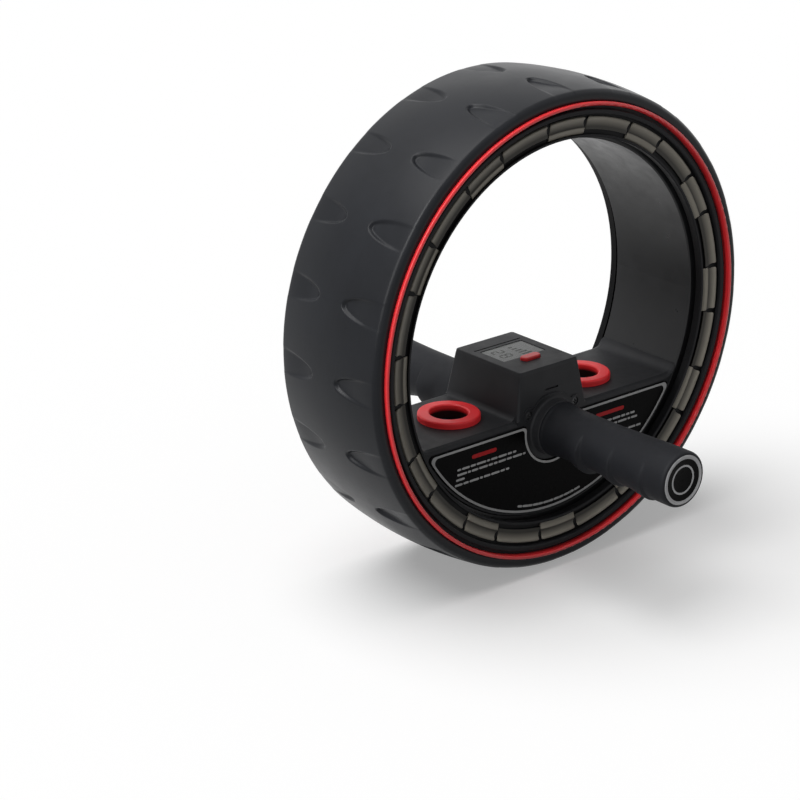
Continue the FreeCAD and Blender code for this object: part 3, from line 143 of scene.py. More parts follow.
class RollerStage(bpy.types.PropertyGroup):
    """Camera and light."""

    camera_place: bpy.props.FloatVectorProperty(
        name="Camera", description="Place of the camera",
        default=(-1.0913, -1.1764, 0.5703), subtype="TRANSLATION", unit="LENGTH")
    camera_turn: bpy.props.FloatProperty(
        name="Turn", description="Turn of the camera", default=radians(-40.165), subtype="ANGLE")
    camera_rise: bpy.props.FloatProperty(
        name="Rise", description="Height angle of the camera", default=radians(21.413), subtype="ANGLE")
    lens: bpy.props.FloatProperty(
        name="Lens", description="Focal length in millimetres on a 36 mm sensor", default=118.86)
    ambient: bpy.props.FloatProperty(name="Ambient", description="Light from all round", default=0.15, min=0)
    floor_white: bpy.props.FloatProperty(
        name="Floor white", description="Brightness of the floor out of the shadow", default=1.0, min=0)


def fill(tree, node, values):
    """Link a node's inputs to sockets, or set them to fixed values."""
    for key, value in values.items():
        socket = node.inputs[key]
        if isinstance(value, bpy.types.NodeSocket):
            tree.links.new(value, socket)
        else:
            socket.default_value = (*value, 1) if socket.type == "RGBA" else value


def add_node(tree, kind, values=None, **settings):
    """A new node with its settings, and with its inputs linked or set."""
    node = tree.nodes.new(kind)
    for key, setting in settings.items():
        setattr(node, key, setting)
    fill(tree, node, values or {})
    return node


def math_of(tree, operation, *values, kind="ShaderNodeMath", result="Value"):
    """Result of a sum on numbers or vectors, each of them fixed or a socket."""
    return add_node(tree, kind, dict(enumerate(values)), operation=operation).outputs[result]


def new_finish(name):
    """A node material with its tree, its shader and its object coordinates."""
    material = bpy.data.materials.new(name)
    material.use_nodes = True
    tree = material.node_tree
    place = add_node(tree, "ShaderNodeTexCoord").outputs["Object"]
    return material, tree, tree.nodes["Principled BSDF"], place


def coords_of(material):
    return material.node_tree, material.node_tree.nodes["Texture Coordinate"].outputs["Object"]


def stretched(tree, vector, scale):
    return add_node(tree, "ShaderNodeMapping", {"Vector": vector, "Scale": scale}).outputs["Vector"]


def noise(tree, vector, scale, detail=3.0, rough=0.55):
    values = {"Vector": vector, "Scale": scale, "Detail": detail, "Roughness": rough}
    return add_node(tree, "ShaderNodeTexNoise", values).outputs["Fac"]


def cells(tree, vector, scale):
    return add_node(tree, "ShaderNodeTexVoronoi", {"Vector": vector, "Scale": scale}).outputs["Distance"]


def spread(tree, value, low, high, from_low=0.3, from_high=0.7):
    """Map a range, by default the middle range of a texture, to another one."""
    values = {"Value": value, "From Min": from_low, "From Max": from_high, "To Min": low, "To Max": high}
    return add_node(tree, "ShaderNodeMapRange", values).outputs["Result"]


def blend_colour(tree, factor, first, second):
    """Blend of two colours, each of them fixed or a socket."""
    values = {"Factor": factor, "A": first, "B": second}
    return add_node(tree, "ShaderNodeMix", values, data_type="RGBA").outputs["Result"]


def distance(tree, place, axes, centre=(0, 0, 0)):
    """Distance from a centre along some axes only, alike on both sides of the middle."""
    kind = "ShaderNodeVectorMath"
    both = math_of(tree, "ABSOLUTE", place, kind=kind, result="Vector")
    flat = math_of(tree, "MULTIPLY", both, axes, kind=kind, result="Vector")
    return math_of(tree, "DISTANCE", flat, centre, kind=kind)


def raise_bump(tree, shader, heights, strength, depth):
    """Chain bumps of several heights into the shader's normal."""
    values = {"Strength": strength, "Distance": depth}
    for height in heights:
        bump = add_node(tree, "ShaderNodeBump", {"Height": height, **values})
        values["Normal"] = bump.outputs["Normal"]
    fill(tree, shader, {"Normal": values["Normal"]})


def shade(colour, factor):
    return tuple(min(channel * factor, 1.0) for channel in colour)


def moulded(name, colour, rough, grain=2600.0, strength=0.16, variation=0.14, coat=0.0, shine=0.12):
    """Moulded plastic or rubber: faint mottling, a fine spark-eroded grain and uneven gloss."""
    material, tree, shader, place = new_finish(name)
    cloud = spread(tree, noise(tree, place, 34.0, detail=4.0), 0.0, 1.0)
    smear = noise(tree, place, 90.0, detail=5.0, rough=0.65)
    fill(tree, shader, {
        "Base Color": blend_colour(tree, cloud, shade(colour, 1 - variation), shade(colour, 1 + variation)),
        "Roughness": spread(tree, smear, rough - 0.06, rough + 0.07),
        "Specular IOR Level": shine,
    })
    if coat:
        fill(tree, shader, {"Coat Weight": coat, "Coat Roughness": 0.18})
    heights = [noise(tree, place, grain, detail=2.0), cells(tree, place, grain * 0.6)]
    raise_bump(tree, shader, heights, strength, depth=0.00008)
    return material


def tyre_rubber(name, colour):
    """Tyre rubber with light scuffs along the rolling direction on the crown."""
    material, tree, shader, place = new_finish(name)
    cloud = noise(tree, place, 26.0, detail=5.0, rough=0.6)
    base = blend_colour(tree, spread(tree, cloud, 0.0, 1.0), shade(colour, 0.86), shade(colour, 1.12))
    crown = spread(tree, distance(tree, place, (0, 1, 0)), 1.0, 0.0, from_low=0.012, from_high=0.044)
    scuff = noise(tree, stretched(tree, place, (60.0, 900.0, 60.0)), 1.0, detail=4.0, rough=0.6)
    worn = math_of(tree, "MULTIPLY", crown, spread(tree, scuff, 0.0, 1.0, from_low=0.35, from_high=0.75))
    fill(tree, shader, {
        "Base Color": blend_colour(tree, spread(tree, worn, 0.0, 0.16, 0.0, 1.0), base, shade(colour, 2.2)),
        "Roughness": spread(tree, cloud, 0.29, 0.39),
        "Specular IOR Level": 0.165,
    })
    heights = [noise(tree, place, 1500.0), cells(tree, place, 2200.0)]
    raise_bump(tree, shader, heights, strength=0.2, depth=0.00012)
    return material


def paint_shade(material, share, dark, glow=0.0):
    """Blend a finish to a dark colour of painted shade where a share falls to nothing, with a painted glow or
    none.
    """
    tree = material.node_tree
    shader = tree.nodes["Principled BSDF"]
    base = blend_colour(tree, share, dark, shader.inputs["Base Color"].links[0].from_socket)
    fill(tree, shader, {"Base Color": base})
    # Painted glow: the part gives off a little of its own colour, though it is no lamp.
    if glow:
        fill(tree, shader, {"Emission Color": base, "Emission Strength": glow})
    return material


def shaded_socket_red(name, colour):
    """Red silicone with a painted glow, and painted shade that turns it dark down inside its socket."""
    material = moulded(name, colour, 0.42, grain=2200.0, strength=0.06, variation=0.06, shine=0.4)
    tree, place = coords_of(material)
    low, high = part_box("grommet_right")
    radius = distance(tree, place, (1, 1, 0), ((low.x + high.x) / 2, 0, 0))
    depth = distance(tree, place, (0, 0, 1))
    # Full colour outside the socket and near its top, painted shade lower down inside it.
    outside = spread(tree, radius, 0.0, 1.0, from_low=0.0128, from_high=0.0136)
    above = spread(tree, depth, 1.0, 0.0, from_low=0.0022 - high.z, from_high=0.0044 - high.z)
    share = math_of(tree, "MAXIMUM", outside, above)
    return paint_shade(material, share, (0.012, 0.003, 0.003), glow=0.09)


def grooved(name, colour):
    """Rim plastic with painted shade, dark down in the grooves between its ridges."""
    material = moulded(name, colour, 0.42, strength=0.1, shine=0.07)
    tree, place = coords_of(material)
    share = spread(tree, distance(tree, place, (0, 1, 0)), 0.0, 1.0, from_low=0.0421, from_high=0.0429)
    return paint_shade(material, share, shade(colour, 0.3))


def coved(name, colour, flange):
    """Trim plastic with painted shade that darkens it down its cove, with a flange inside it kept out of the
    shade, or none.
    """
    material = moulded(name, colour, 0.40, grain=2400.0, strength=0.08, variation=0.08, shine=0.16)
    tree, place = coords_of(material)
    radius = distance(tree, place, (1, 0, 1))
    share = spread(tree, radius, 0.05, 1.0, from_low=0.1330, from_high=0.1376)
    # Inside the flange the painted shade stops.
    if flange:
        bright = spread(tree, radius, 1.0, 0.0, from_low=0.1319, from_high=0.1326)
        share = math_of(tree, "MAXIMUM", share, bright)
    return paint_shade(material, share, shade(colour, 0.10))


def glossy_film(name, colour):
    """Black printed film with a slight orange peel."""
    material, tree, shader, place = new_finish(name)
    cloud = noise(tree, place, 45.0)
    fill(tree, shader, {
        "Base Color": blend_colour(tree, cloud, shade(colour, 0.8), shade(colour, 1.3)),
        "Roughness": spread(tree, noise(tree, place, 160.0, detail=4.0), 0.22, 0.34),
        "Specular IOR Level": 0.025,
    })
    raise_bump(tree, shader, [noise(tree, place, 420.0, detail=2.0)], strength=0.05, depth=0.00005)
    return material


def metal(name, colour, rough, brushed=(1.0, 1.0, 1.0)):
    """Bare metal with drawn or turned lines."""
    material, tree, shader, place = new_finish(name)
    lines = noise(tree, stretched(tree, place, brushed), 500.0)
    base = blend_colour(tree, spread(tree, lines, 0.0, 1.0), shade(colour, 0.86), shade(colour, 1.08))
    gloss = spread(tree, lines, rough - 0.07, rough + 0.1)
    fill(tree, shader, {"Base Color": base, "Roughness": gloss, "Metallic": 1.0})
    raise_bump(tree, shader, [lines], strength=0.06, depth=0.00003)
    return material


def clear_pane(name):
    """Clear window with a faint haze."""
    material, tree, shader, place = new_finish(name)
    haze = spread(tree, noise(tree, place, 300.0), 0.08, 0.16)
    fill(tree, shader, {"Base Color": (0.5, 0.52, 0.52), "Alpha": 0.07, "Roughness": haze})
    raise_bump(tree, shader, [noise(tree, place, 140.0, detail=2.0)], strength=0.02, depth=0.00005)
    return material


def board_lacquer(name):
    """Green board with copper runs showing through the lacquer."""
    material, tree, shader, place = new_finish(name)
    runs = add_node(tree, "ShaderNodeTexBrick", {
        "Vector": place, "Scale": 260.0, "Color1": (0.012, 0.09, 0.03), "Color2": (0.016, 0.11, 0.036),
        "Mortar": (0.05, 0.2, 0.07)})
    gloss = spread(tree, noise(tree, place, 220.0), 0.3, 0.42)
    fill(tree, shader, {"Base Color": runs.outputs["Color"], "Roughness": gloss})
    raise_bump(tree, shader, [runs.outputs["Fac"]], strength=0.1, depth=0.00004)
    return material


FINISHES = {}


def make_finishes(colours):
    """Every finish of the roller by name."""
    shell, red = colours.shell, colours.red
    bright = {"strength": 0.05, "coat": 0.1, "shine": 0.4}
    inked = {"strength": 0.02, "variation": 0.05}
    FINISHES.update({
        "tyre": tyre_rubber("tyre_rubber", colours.tyre),
        "shell": moulded("shell_plastic", shell, 0.47),
        # Hoop: the shell's colour at half strength, painted shade, under a glossier finish.
        "hoop": moulded("hoop_plastic", shade(shell, 0.5), 0.33, strength=0.1, shine=0.28),
        # Rim: the shell's colour darkened to four fifths, painted shade.
        "rim": grooved("rim_plastic", shade(shell, 0.8)),
        "red": moulded("accent_red", red, 0.34, grain=1800.0, variation=0.06, **bright),
        # Grommets: the red made a quarter brighter as painted light, with a painted glow and painted shade in the
        # socket.
        "grommet": shaded_socket_red("grommet_red", shade(red, 1.25)),
        "button": moulded("button_red", shade(red, 1.1), 0.36, grain=2000.0, variation=0.05, **bright),
        "trim_short": coved("trim_taupe_short", colours.trim, flange=True),
        "trim_long": coved("trim_taupe_long", colours.trim, flange=False),
        "cover": glossy_film("cover_film", colours.cover),
        "cap": glossy_film("cap_black", shade(colours.cover, 2.0)),
        "grip": moulded("grip_rubber", colours.grip, 0.56, grain=2000.0, strength=0.26, variation=0.16),
        "panel": moulded("panel_plastic", shade(shell, 1.15), 0.45, strength=0.12),
        "print_grey": moulded("print_grey", colours.print_grey, 0.5, **inked),
        "print_red": moulded("print_red", shade(red, 0.6), 0.5, **inked),
        "display": moulded("display_ground", colours.display, 0.4, **inked),
        "digit": moulded("display_digits", (0.018, 0.019, 0.018), 0.4, **inked),
        "pane": clear_pane("clear_window"),
        "silver": metal("ring_silver", (0.62, 0.62, 0.63), 0.3),
        "ring": moulded("ring_satin", (0.40, 0.40, 0.41), 0.36, strength=0.03, variation=0.04, shine=0.5),
        "steel": metal("tube_steel", (0.52, 0.52, 0.53), 0.34, brushed=(1.0, 0.05, 1.0)),
        "ball": metal("ball_steel", (0.7, 0.7, 0.71), 0.12),
        "screw": metal("screw_black_steel", (0.05, 0.05, 0.052), 0.45),
        "cage": moulded("cage_nylon", (0.66, 0.63, 0.54), 0.48, variation=0.06),
        "board": board_lacquer("board_lacquer"),
        "magnet": metal("magnet_nickel", (0.42, 0.42, 0.43), 0.26),
        "lead": moulded("lead_jacket", (0.012, 0.012, 0.013), 0.45, strength=0.06),
    })


NODE_FINISHES = {
    "tyre": "tyre", "hoop": "hoop", "saddle": "shell", "counter_box": "shell", "grommet_left": "grommet",
    "grommet_right": "grommet", "handle_tube": "steel", "counter_panel": "panel", "display_window": "pane",
    "display_module": "display", "circuit_board": "board", "board_screws": "screw", "battery_holder": "cap",
    "coin_cell": "silver", "reset_switch": "cap", "reset_button": "button", "roll_sensor": "cap",
    "sensor_lead": "lead", "saddle_screws": "screw", "rim_screws": "screw", "counter_magnet": "magnet",
}
PAIRED_FINISHES = {
    "accent_ring": "red", "rim": "rim", "trim_long": "trim_long", "trim_short": "trim_short", "ball_cage": "cage",
    "bearing_balls": "ball", "cover": "cover", "collar": "shell", "collar_screws": "screw", "grip": "grip",
    "end_cap": "cap", "cap_ring": "ring",
}
for end, _ in SIDES:
    NODE_FINISHES.update({f"{piece}_{end}": finish for piece, finish in PAIRED_FINISHES.items()})


def add_mesh(name, points, faces, finish=None):
    """A mesh object at the origin."""
    mesh = bpy.data.meshes.new(name)
    mesh.from_pydata(points, [], faces)
    mesh.update()
    piece = bpy.data.objects.new(name, mesh)
    bpy.context.scene.collection.objects.link(piece)
    if finish:
        mesh.materials.append(FINISHES[finish])
    return piece


def tidy_mesh(piece, sharp=35.0, merge=0.0):
    """Merge doubles, point the faces outwards and shade smooth up to an angle."""
    build = bmesh.new()
    build.from_mesh(piece.data)
    if merge:
        bmesh.ops.remove_doubles(build, verts=build.verts, dist=merge)
    bmesh.ops.recalc_face_normals(build, faces=build.faces)
    build.to_mesh(piece.data)
    build.free()
    piece.data.shade_smooth()
    piece.data.set_sharp_from_angle(angle=radians(sharp))
    return piece


def sheet_faces(rows, count, loop=False, wrap=True):
    """Faces between rows of points: a loop joins the last row to the first, and a wrap closes each row."""
    faces = []
    for row in range(rows if loop else rows - 1):
        low, high = row * count, (row + 1) % rows * count
        for item in range(count if wrap else count - 1):
            beside = (item + 1) % count
            faces.append((low + item, low + beside, high + beside, high + item))
    return faces


def prisms(outlines, place_at, levels):
    """Points and faces of flat closed blocks, one over each outline between two levels."""
    points, faces = [], []
    for outline in outlines:
        first, count = len(points), len(outline)
        points += [place_at(*place, level) for level in levels for place in outline]
        block = [tuple(range(count)), tuple(range(count, 2 * count)), *sheet_faces(2, count)]
        faces += [tuple(first + corner for corner in face) for face in block]
    return points, faces


def seat_piece(piece, body, slot, *nodes):
    """Ride a piece on its body in place of CAD nodes; the slot argument is not used."""
    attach(piece, body)
    if nodes:
        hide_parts(*nodes)


def new_tree(name, inputs):
    """A geometry tree, its named inputs and what its input node gives."""
    tree = bpy.data.node_groups.new(name, "GeometryNodeTree")
    sockets = {}
    for label, kind in {"Geometry": "Geometry", **inputs, "Finish": "Material"}.items():
        sockets[label] = tree.interface.new_socket(label, in_out="INPUT", socket_type=f"NodeSocket{kind}")
    tree.interface.new_socket("Geometry", in_out="OUTPUT", socket_type="NodeSocketGeometry")
    return tree, sockets, add_node(tree, "NodeGroupInput").outputs


def real_copies(tree, values):
    """Copies of a piece on points, made real."""
    copies = add_node(tree, "GeometryNodeInstanceOnPoints", values)
    return add_node(tree, "GeometryNodeRealizeInstances", {0: copies.outputs[0]}).outputs[0]


def hand_out(tree, shape, finish):
    """End a tree with a shape in its finish."""
    paint = add_node(tree, "GeometryNodeSetMaterial", {"Geometry": shape, "Material": finish})
    add_node(tree, "NodeGroupOutput", {0: paint.outputs[0]})


def ring_tree():
    """Nodes that set copies of a piece evenly round the Y axis."""
    tree, sockets, given = new_tree("ring_of_copies", {"Count": "Int", "Turn": "Float", "Weld": "Float"})
    points = add_node(tree, "GeometryNodePoints", {"Count": given["Count"]})
    index = add_node(tree, "GeometryNodeInputIndex").outputs[0]
    angle = math_of(tree, "MULTIPLY", index, math_of(tree, "DIVIDE", tau, given["Count"]))
    turn = add_node(tree, "FunctionNodeAxisAngleToRotation", {
        "Axis": (0, 1, 0), "Angle": math_of(tree, "ADD", angle, given["Turn"])})
    real = real_copies(tree, {
        "Points": points.outputs[0], "Instance": given["Geometry"], "Rotation": turn.outputs[0]})
    weld = add_node(tree, "GeometryNodeMergeByDistance", {"Geometry": real, "Distance": given["Weld"]})
    hand_out(tree, weld.outputs[0], given["Finish"])
    return tree, sockets


def point_tree():
    """Nodes that set a copy of a piece on each point of a mesh."""
    tree, sockets, given = new_tree("copies_on_points", {"Copy": "Object"})
    source = add_node(tree, "GeometryNodeObjectInfo", {"Object": given["Copy"]})
    points = add_node(tree, "GeometryNodeMeshToPoints", {"Mesh": given["Geometry"]})
    real = real_copies(tree, {"Points": points.outputs[0], "Instance": source.outputs["Geometry"]})
    hand_out(tree, real, given["Finish"])
    return tree, sockets


TREES = {}


def grow(piece, kind, values):
    """Run a tree on a piece with its inputs set, and keep the result as a plain mesh."""
    if kind not in TREES:
        TREES[kind] = ring_tree() if kind == "ring" else point_tree()
    tree, sockets = TREES[kind]
    modifier = piece.modifiers.new(tree.name, "NODES")
    modifier.node_group = tree
    for name, value in values.items():
        modifier[sockets[name].identifier] = value
    graph = bpy.context.evaluated_depsgraph_get()
    mesh = bpy.data.meshes.new_from_object(piece.evaluated_get(graph))
    piece.modifiers.remove(modifier)
    old = piece.data
    piece.data = mesh
    mesh.name = piece.name
    bpy.data.meshes.remove(old)


def smooth_step(value):
    value = min(max(value, 0.0), 1.0)
    return value * value * (3 - 2 * value)


def rounded(before, corner, after, reach, count=6):
    """Points of a corner rounded over a distance either way."""
    before, corner, after = Vector(before), Vector(corner), Vector(after)
    start = corner + (before - corner).normalized() * reach
    stop = corner + (after - corner).normalized() * reach
    parts = (step / count for step in range(count + 1))
    return [tuple(start.lerp(corner, part).lerp(corner.lerp(stop, part), part)) for part in parts]


def tread_section(sizes):
    """Half section of the tyre from the middle of the crown over the shoulder to the seat: distance from the
    middle, radius, and how much of a cut's depth shows there."""
    crown = (sizes.tread_half ** 2 + sizes.crown_drop ** 2) / (2 * sizes.crown_drop)
    half, edge = sizes.tyre_half, sizes.cut_edge
    tip, shoulder = half - sizes.cut_length, sizes.tread_half + 0.0033
    full_depth, shallow, top_round, low_round = 0.006, 0.08, 0.0011, 0.0016

    def tread(across):
        return sizes.crown_radius - crown + sqrt(crown ** 2 - across ** 2)

    def run_out(across):
        return 1 - (1 - shallow) * smooth_step((across - tip - full_depth) / (shoulder - tip - full_depth))

    rows = [0.0, 0.004, 0.0075, tip - edge * 2]
    rows += [tip + edge * (step / 4 - 1) for step in range(13)]
    rows += [tip + gap * MM for gap in (2.0, 2.6, 3.4, 4.6, 6.3, 8.8, 12, 16, 20, 24, 27.5, 29.5)]
    section = [(across, tread(across), run_out(across)) for across in rows]
    last, top = (rows[-1], tread(rows[-1])), (shoulder, tread(shoulder))
    low, wall = (half, sizes.side_top - 0.0004), (half, 0.1499)
    section += [(*place, run_out(place[0])) for place in rounded(last, top, low, top_round)]
    for step, place in enumerate(rounded(top, low, wall, low_round)):
        section.append((*place, shallow * (1 - smooth_step(step / 5))))
    seat, side, groove, inner = 0.1469, 0.1495, 0.0429, 0.02
    under = (wall, (half - 0.0004, side), (groove, side), (groove, seat), (inner, seat))
    return section + [(*place, 0.0) for place in under]


def cut_share(sizes, along, across):
    """How deep a tread cut is at a place: 0 outside its half oval, 1 on its floor."""
    inwards = sizes.tyre_half - across
    u, v = along / sizes.cut_half, inwards / sizes.cut_length
    size = hypot(u, v)
    if size < 1e-6:
        return 1.0
    slope = hypot(u / sizes.cut_half, v / sizes.cut_length) / size
    gap = (size - 1) / slope
    return smooth_step(0.5 - gap / (2 * sizes.cut_edge))


class ROLLER_OT_tyre(bpy.types.Operator):
    """Tyre with rows of half-oval cuts along both edges of its tread"""

    bl_idname = "roller.tyre"
    bl_label = "Tyre"

    def execute(self, context):
        sizes = context.scene.roller_sizes
        half = tread_section(sizes)
        loop = [(-across, radius, share) for across, radius, share in reversed(half)][:-1] + half
        pitch = tau / sizes.cut_count
        outer = pitch / 2 * sizes.crown_radius
        edge, least = sizes.cut_edge, 0.0011
        points = []
        for across, radius, share in loop:
            inwards = min((sizes.tyre_half - abs(across)) / sizes.cut_length, 1.0)
            width = max(sizes.cut_half * sqrt(max(1 - inwards ** 2, 0.0)), least)
            start, stop = width + edge, width - edge
            places = [start + (outer - start) * part for part in (1.0, 0.72, 0.46, 0.24, 0.1, 0.03)]
            places += [width + edge * part for part in (1.0, 0.6, 0.25, 0.0, -0.25, -0.6, -1.0)]
            places += [stop * part for part in (0.85, 0.6, 0.3, 0.0)]
            columns = [-place for place in places] + places[-2::-1]
            for along in columns:
                deep = sizes.cut_depth * share * cut_share(sizes, along, abs(across)) if share else 0.0
                angle = along / outer * pitch / 2
                reach = radius - deep
                points.append((reach * sin(angle), across, reach * cos(angle)))
        faces = sheet_faces(len(loop), len(columns), loop=True, wrap=False)
        tyre = add_mesh("tread_tyre", points, faces)
        grow(tyre, "ring", {
            "Count": sizes.cut_count, "Turn": sizes.cut_turn, "Weld": 2e-6, "Finish": FINISHES["tyre"]})
        tidy_mesh(tyre, 50.0)
        seat_piece(tyre, "wheel", "tyre_rubber", "tyre")
        return {"FINISHED"}


def trim_section(kind):
    """Section of a trim piece over its coved face: radius and distance from the middle, in millimetres."""
    brow, foot, rise, steep = 138.1, 42.3, 1.56, 0.97
    outer = [(139.4, 42.02), (139.4, 43.3), (139.3, 43.65), (139.05, 43.9), (138.6, 44.0), (brow, 43.86)]
    cove = []
    low = 133.2 if kind == "short" else 131.6
    for step in range(1, 13):
        share = 1 - step / 12
        lift = (1 - sqrt(1 - (steep * share) ** 2)) / (1 - sqrt(1 - steep ** 2))
        cove.append((low + (brow - low) * share, foot + rise * lift))
    if kind == "short":
        inner = [(132.9, 42.42), (132.6, 42.75), (132.35, 43.0), (132.0, 43.08), (131.6, 42.98), (130.6, 42.6),
                 (129.6, 42.18), (128.7, 41.75), (128.2, 41.45), (128.0, 41.2), (128.0, 40.9), (130.8, 40.9),
                 (130.8, 42.02)]
    else:
        inner = [(131.2, foot), (130.98, 42.2), (130.9, 42.02)]
    return outer + cove + inner


def trim_reach(kind, angle, radius):
    """Half angle of a trim piece at a radius in millimetres; its outer part stands back with rounded corners."""
    foot, slope, brow, corner_size, corner_turn = 132.6, 2.2, 138.2, 1.2, 0.0065
    flange = radians(0.5 if kind == "short" else 0.35)
    stand_back = smooth_step((radius - foot) / slope)
    corner = min(max(radius - brow, 0.0) / corner_size, 1.0)
    return angle / 2 + flange * (1 - stand_back) - corner_turn * (1 - sqrt(1 - corner ** 2))


def trim_tile(kind, angle, rounding, side):
    """Points and faces of one trim piece with rounded ends."""
    section = trim_section(kind)
    middle_radius, rim_face = 0.1355, 42.0
    full = angle / 2 * middle_radius
    ends = [1 - rounding * part / full for part in (0.0, 0.05, 0.15, 0.32, 0.6, 1.0)]
    places = [-part for part in ends] + [-0.7, -0.35, 0.0, 0.35, 0.7] + ends[::-1]
    points = []
    for part in places:
        gap = full * (1 - abs(part))
        drop = rounding - sqrt(max(rounding ** 2 - max(rounding - gap, 0.0) ** 2, 0.0))
        for radius, out in section:
            turn = part * trim_reach(kind, angle, radius)
            lowered = out - drop / MM * min(max(out - rim_face, 0.0), 1.0)
            points.append((radius * MM * sin(turn), side * lowered * MM, radius * MM * cos(turn)))
    count, total = len(section), len(points)
    faces = sheet_faces(len(places), count)
    return points, [*faces, tuple(range(count)), tuple(range(total - count, total))]


class ROLLER_OT_trim(bpy.types.Operator):
    """Coved trim pieces in turn short and long round both sides of the rim"""

    bl_idname = "roller.trim"
    bl_label = "Trim"

    def execute(self, context):
        sizes = context.scene.roller_sizes
        kinds = (("short", sizes.trim_short, 0.0), ("long", sizes.trim_long, pi / sizes.trim_count))
        for end, side in SIDES:
            for kind, angle, turn in kinds:
                tile = trim_tile(kind, angle, sizes.trim_round, side)
                trim = tidy_mesh(add_mesh(f"trim_tiles_{kind}_{end}", *tile))
                grow(trim, "ring", {
                    "Count": sizes.trim_count, "Turn": turn, "Weld": 0.0, "Finish": FINISHES[f"trim_{kind}"]})
                tidy_mesh(trim, 42.0)
                seat_piece(trim, "wheel", "trim_taupe", f"trim_{kind}_{end}")
        return {"FINISHED"}


def grip_radius(sizes, share, under):
    """Radius of a grip at a share of its length, with finger ridges where it faces down."""
    waist, swell, flare, lip = 0.918, 0.082, 0.05, 0.035
    ridges, climb, fall = ((0.314, 1.0), (0.566, 0.7), (0.82, 0.45)), 0.15, 0.016
    roll_start, roll_length, roll_drop = 0.975, 0.025, 0.085
    base = waist + swell * smooth_step((share - 0.36) / 0.6) + flare * (1 - smooth_step(share / 0.16))
    base += lip * exp(-((share - 0.008) / 0.012) ** 2)
    radius = sizes.grip_radius * base
    for place, height in ridges:
        gap = share - place
        rise = smooth_step(1 + gap / climb) if gap < 0 else 1 - smooth_step(gap / fall)
        radius += sizes.ridge_height * height * rise * under
    if share > roll_start:
        turned = (share - roll_start) / roll_length
        radius -= sizes.grip_radius * roll_drop * (1 - sqrt(max(1 - turned ** 2, 0.0)))
    return radius


class ROLLER_OT_grips(bpy.types.Operator):
    """Soft grips with finger ridges underneath and a rolled end"""

    bl_idname = "roller.grips"
    bl_label = "Grips"

    def execute(self, context):
        sizes = context.scene.roller_sizes
        start, stop, cap_seat, bore, recess, around = 0.0421, 0.1523, 0.1481, 0.0126, 0.0163, 96
        shares = [0.0, 0.002, 0.005, 0.009, 0.013, 0.018, 0.024, 0.032]
        shares += [0.032 + 0.943 * step / 180 for step in range(1, 181)]
        shares += [0.980, 0.985, 0.990, 0.994, 0.997, 0.999, 1.0]
        angles = [tau * step / around for step in range(around)]
        unders = [smooth_step(0.75 - sin(angle)) for angle in angles]
        rings = [(start + (stop - start) * share, [grip_radius(sizes, share, under) for under in unders])
                 for share in shares]
        inside = ((recess, stop), (recess, cap_seat), (bore, cap_seat), (bore, start))
        rings += [(place, [radius] * around) for radius, place in inside]
        faces = sheet_faces(len(rings), around, loop=True)
        for end, side in SIDES:
            points = [
                (radius * cos(angle), side * place, sizes.handle_height + radius * sin(angle))
                for place, radii in rings for radius, angle in zip(radii, angles)]
            grip = tidy_mesh(add_mesh(f"soft_grip_{end}", points, faces, "grip"), 50.0)
            seat_piece(grip, "frame", "grip_rubber", f"grip_{end}")
        return {"FINISHED"}


def arc_points(centre, radius, start, stop, count):
    angles = [start + (stop - start) * step / count for step in range(count + 1)]
    return [(centre[0] + radius * cos(angle), centre[1] + radius * sin(angle)) for angle in angles]


def cover_edge(inset):
    """Closed outline of a cover, in by an amount, in millimetres, always with the same number of points."""
    handle, corner = 65.3, 3.0
    radius, top, notch = 122.2 - inset, 59.6 + inset, 22.7 + inset
    across = sqrt((radius - corner) ** 2 - (top + corner) ** 2)
    beside = sqrt((notch + corner) ** 2 - (handle - top - corner) ** 2)
    low = atan2(-(top + corner), across)
    lean = atan2(handle - top - corner, beside)
    height, up = -top - corner, pi / 2
    arcs = (
        ((0, 0), radius, -pi - low, low, 96),
        ((across, height), corner, low, up, 10),
        ((beside, height), corner, up, pi + lean, 10),
        ((0, -handle), notch, lean, -pi - lean, 60),
        ((-beside, height), corner, -lean, up, 10),
        ((-across, height), corner, up, pi - low, 10),
    )
    return [place for arc in arcs for place in arc_points(*arc)]


def flat_band(name, outer, inner, side, face, height, finish):
    """A closed, slightly raised band between two outlines on a face that looks along the axle."""
    layers = ((outer, face), (outer, face + height), (inner, face + height), (inner, face))
    points = [(x * MM, side * level * MM, z * MM) for outline, level in layers for x, z in outline]
    faces = sheet_faces(len(layers), len(outer), loop=True)
    return tidy_mesh(add_mesh(name, points, faces, finish), 30.0, 1e-6)


def flat_bars(name, bars, side, face, height, finish):
    """Slightly raised, round-ended bars on a cover's face, each given by its ends and width."""
    outlines = []
    for (x0, z0), (x1, z1), width in bars:
        along = Vector((x1 - x0, z1 - z0)).normalized()
        aside = Vector((-along.y, along.x))
        outline = []
        for centre, start in (((x1, z1), -90), ((x0, z0), 90)):
            for angle in (radians(start + 30 * step) for step in range(7)):
                turned = along * cos(angle) + aside * sin(angle)
                outline.append(Vector(centre) + turned * width / 2)
        outlines.append(outline)
    points, faces = prisms(
        outlines, lambda x, z, level: (x * MM, side * level * MM, z * MM), (face, face + height))
    return tidy_mesh(add_mesh(name, points, faces, finish), 30.0)


WORDS = (3.2, 6.5, 4.4, 8.1, 2.6, 5.6, 7.2, 3.8)
WORD_GAP = 0.7


def dashes(start, stop, width, first=0):
    """Word-long dashes along a line."""
    start, stop = Vector(start), Vector(stop)
    along, length = (stop - start).normalized(), (stop - start).length
    place, index, bars = 0.0, first, []
    while place < length:
        reach = min(place + WORDS[index % len(WORDS)], length)
        if reach - place > width:
            bars.append((start + along * (place + width / 2), start + along * (reach - width / 2), width))
        place, index = reach + WORD_GAP, index + 1
    return bars


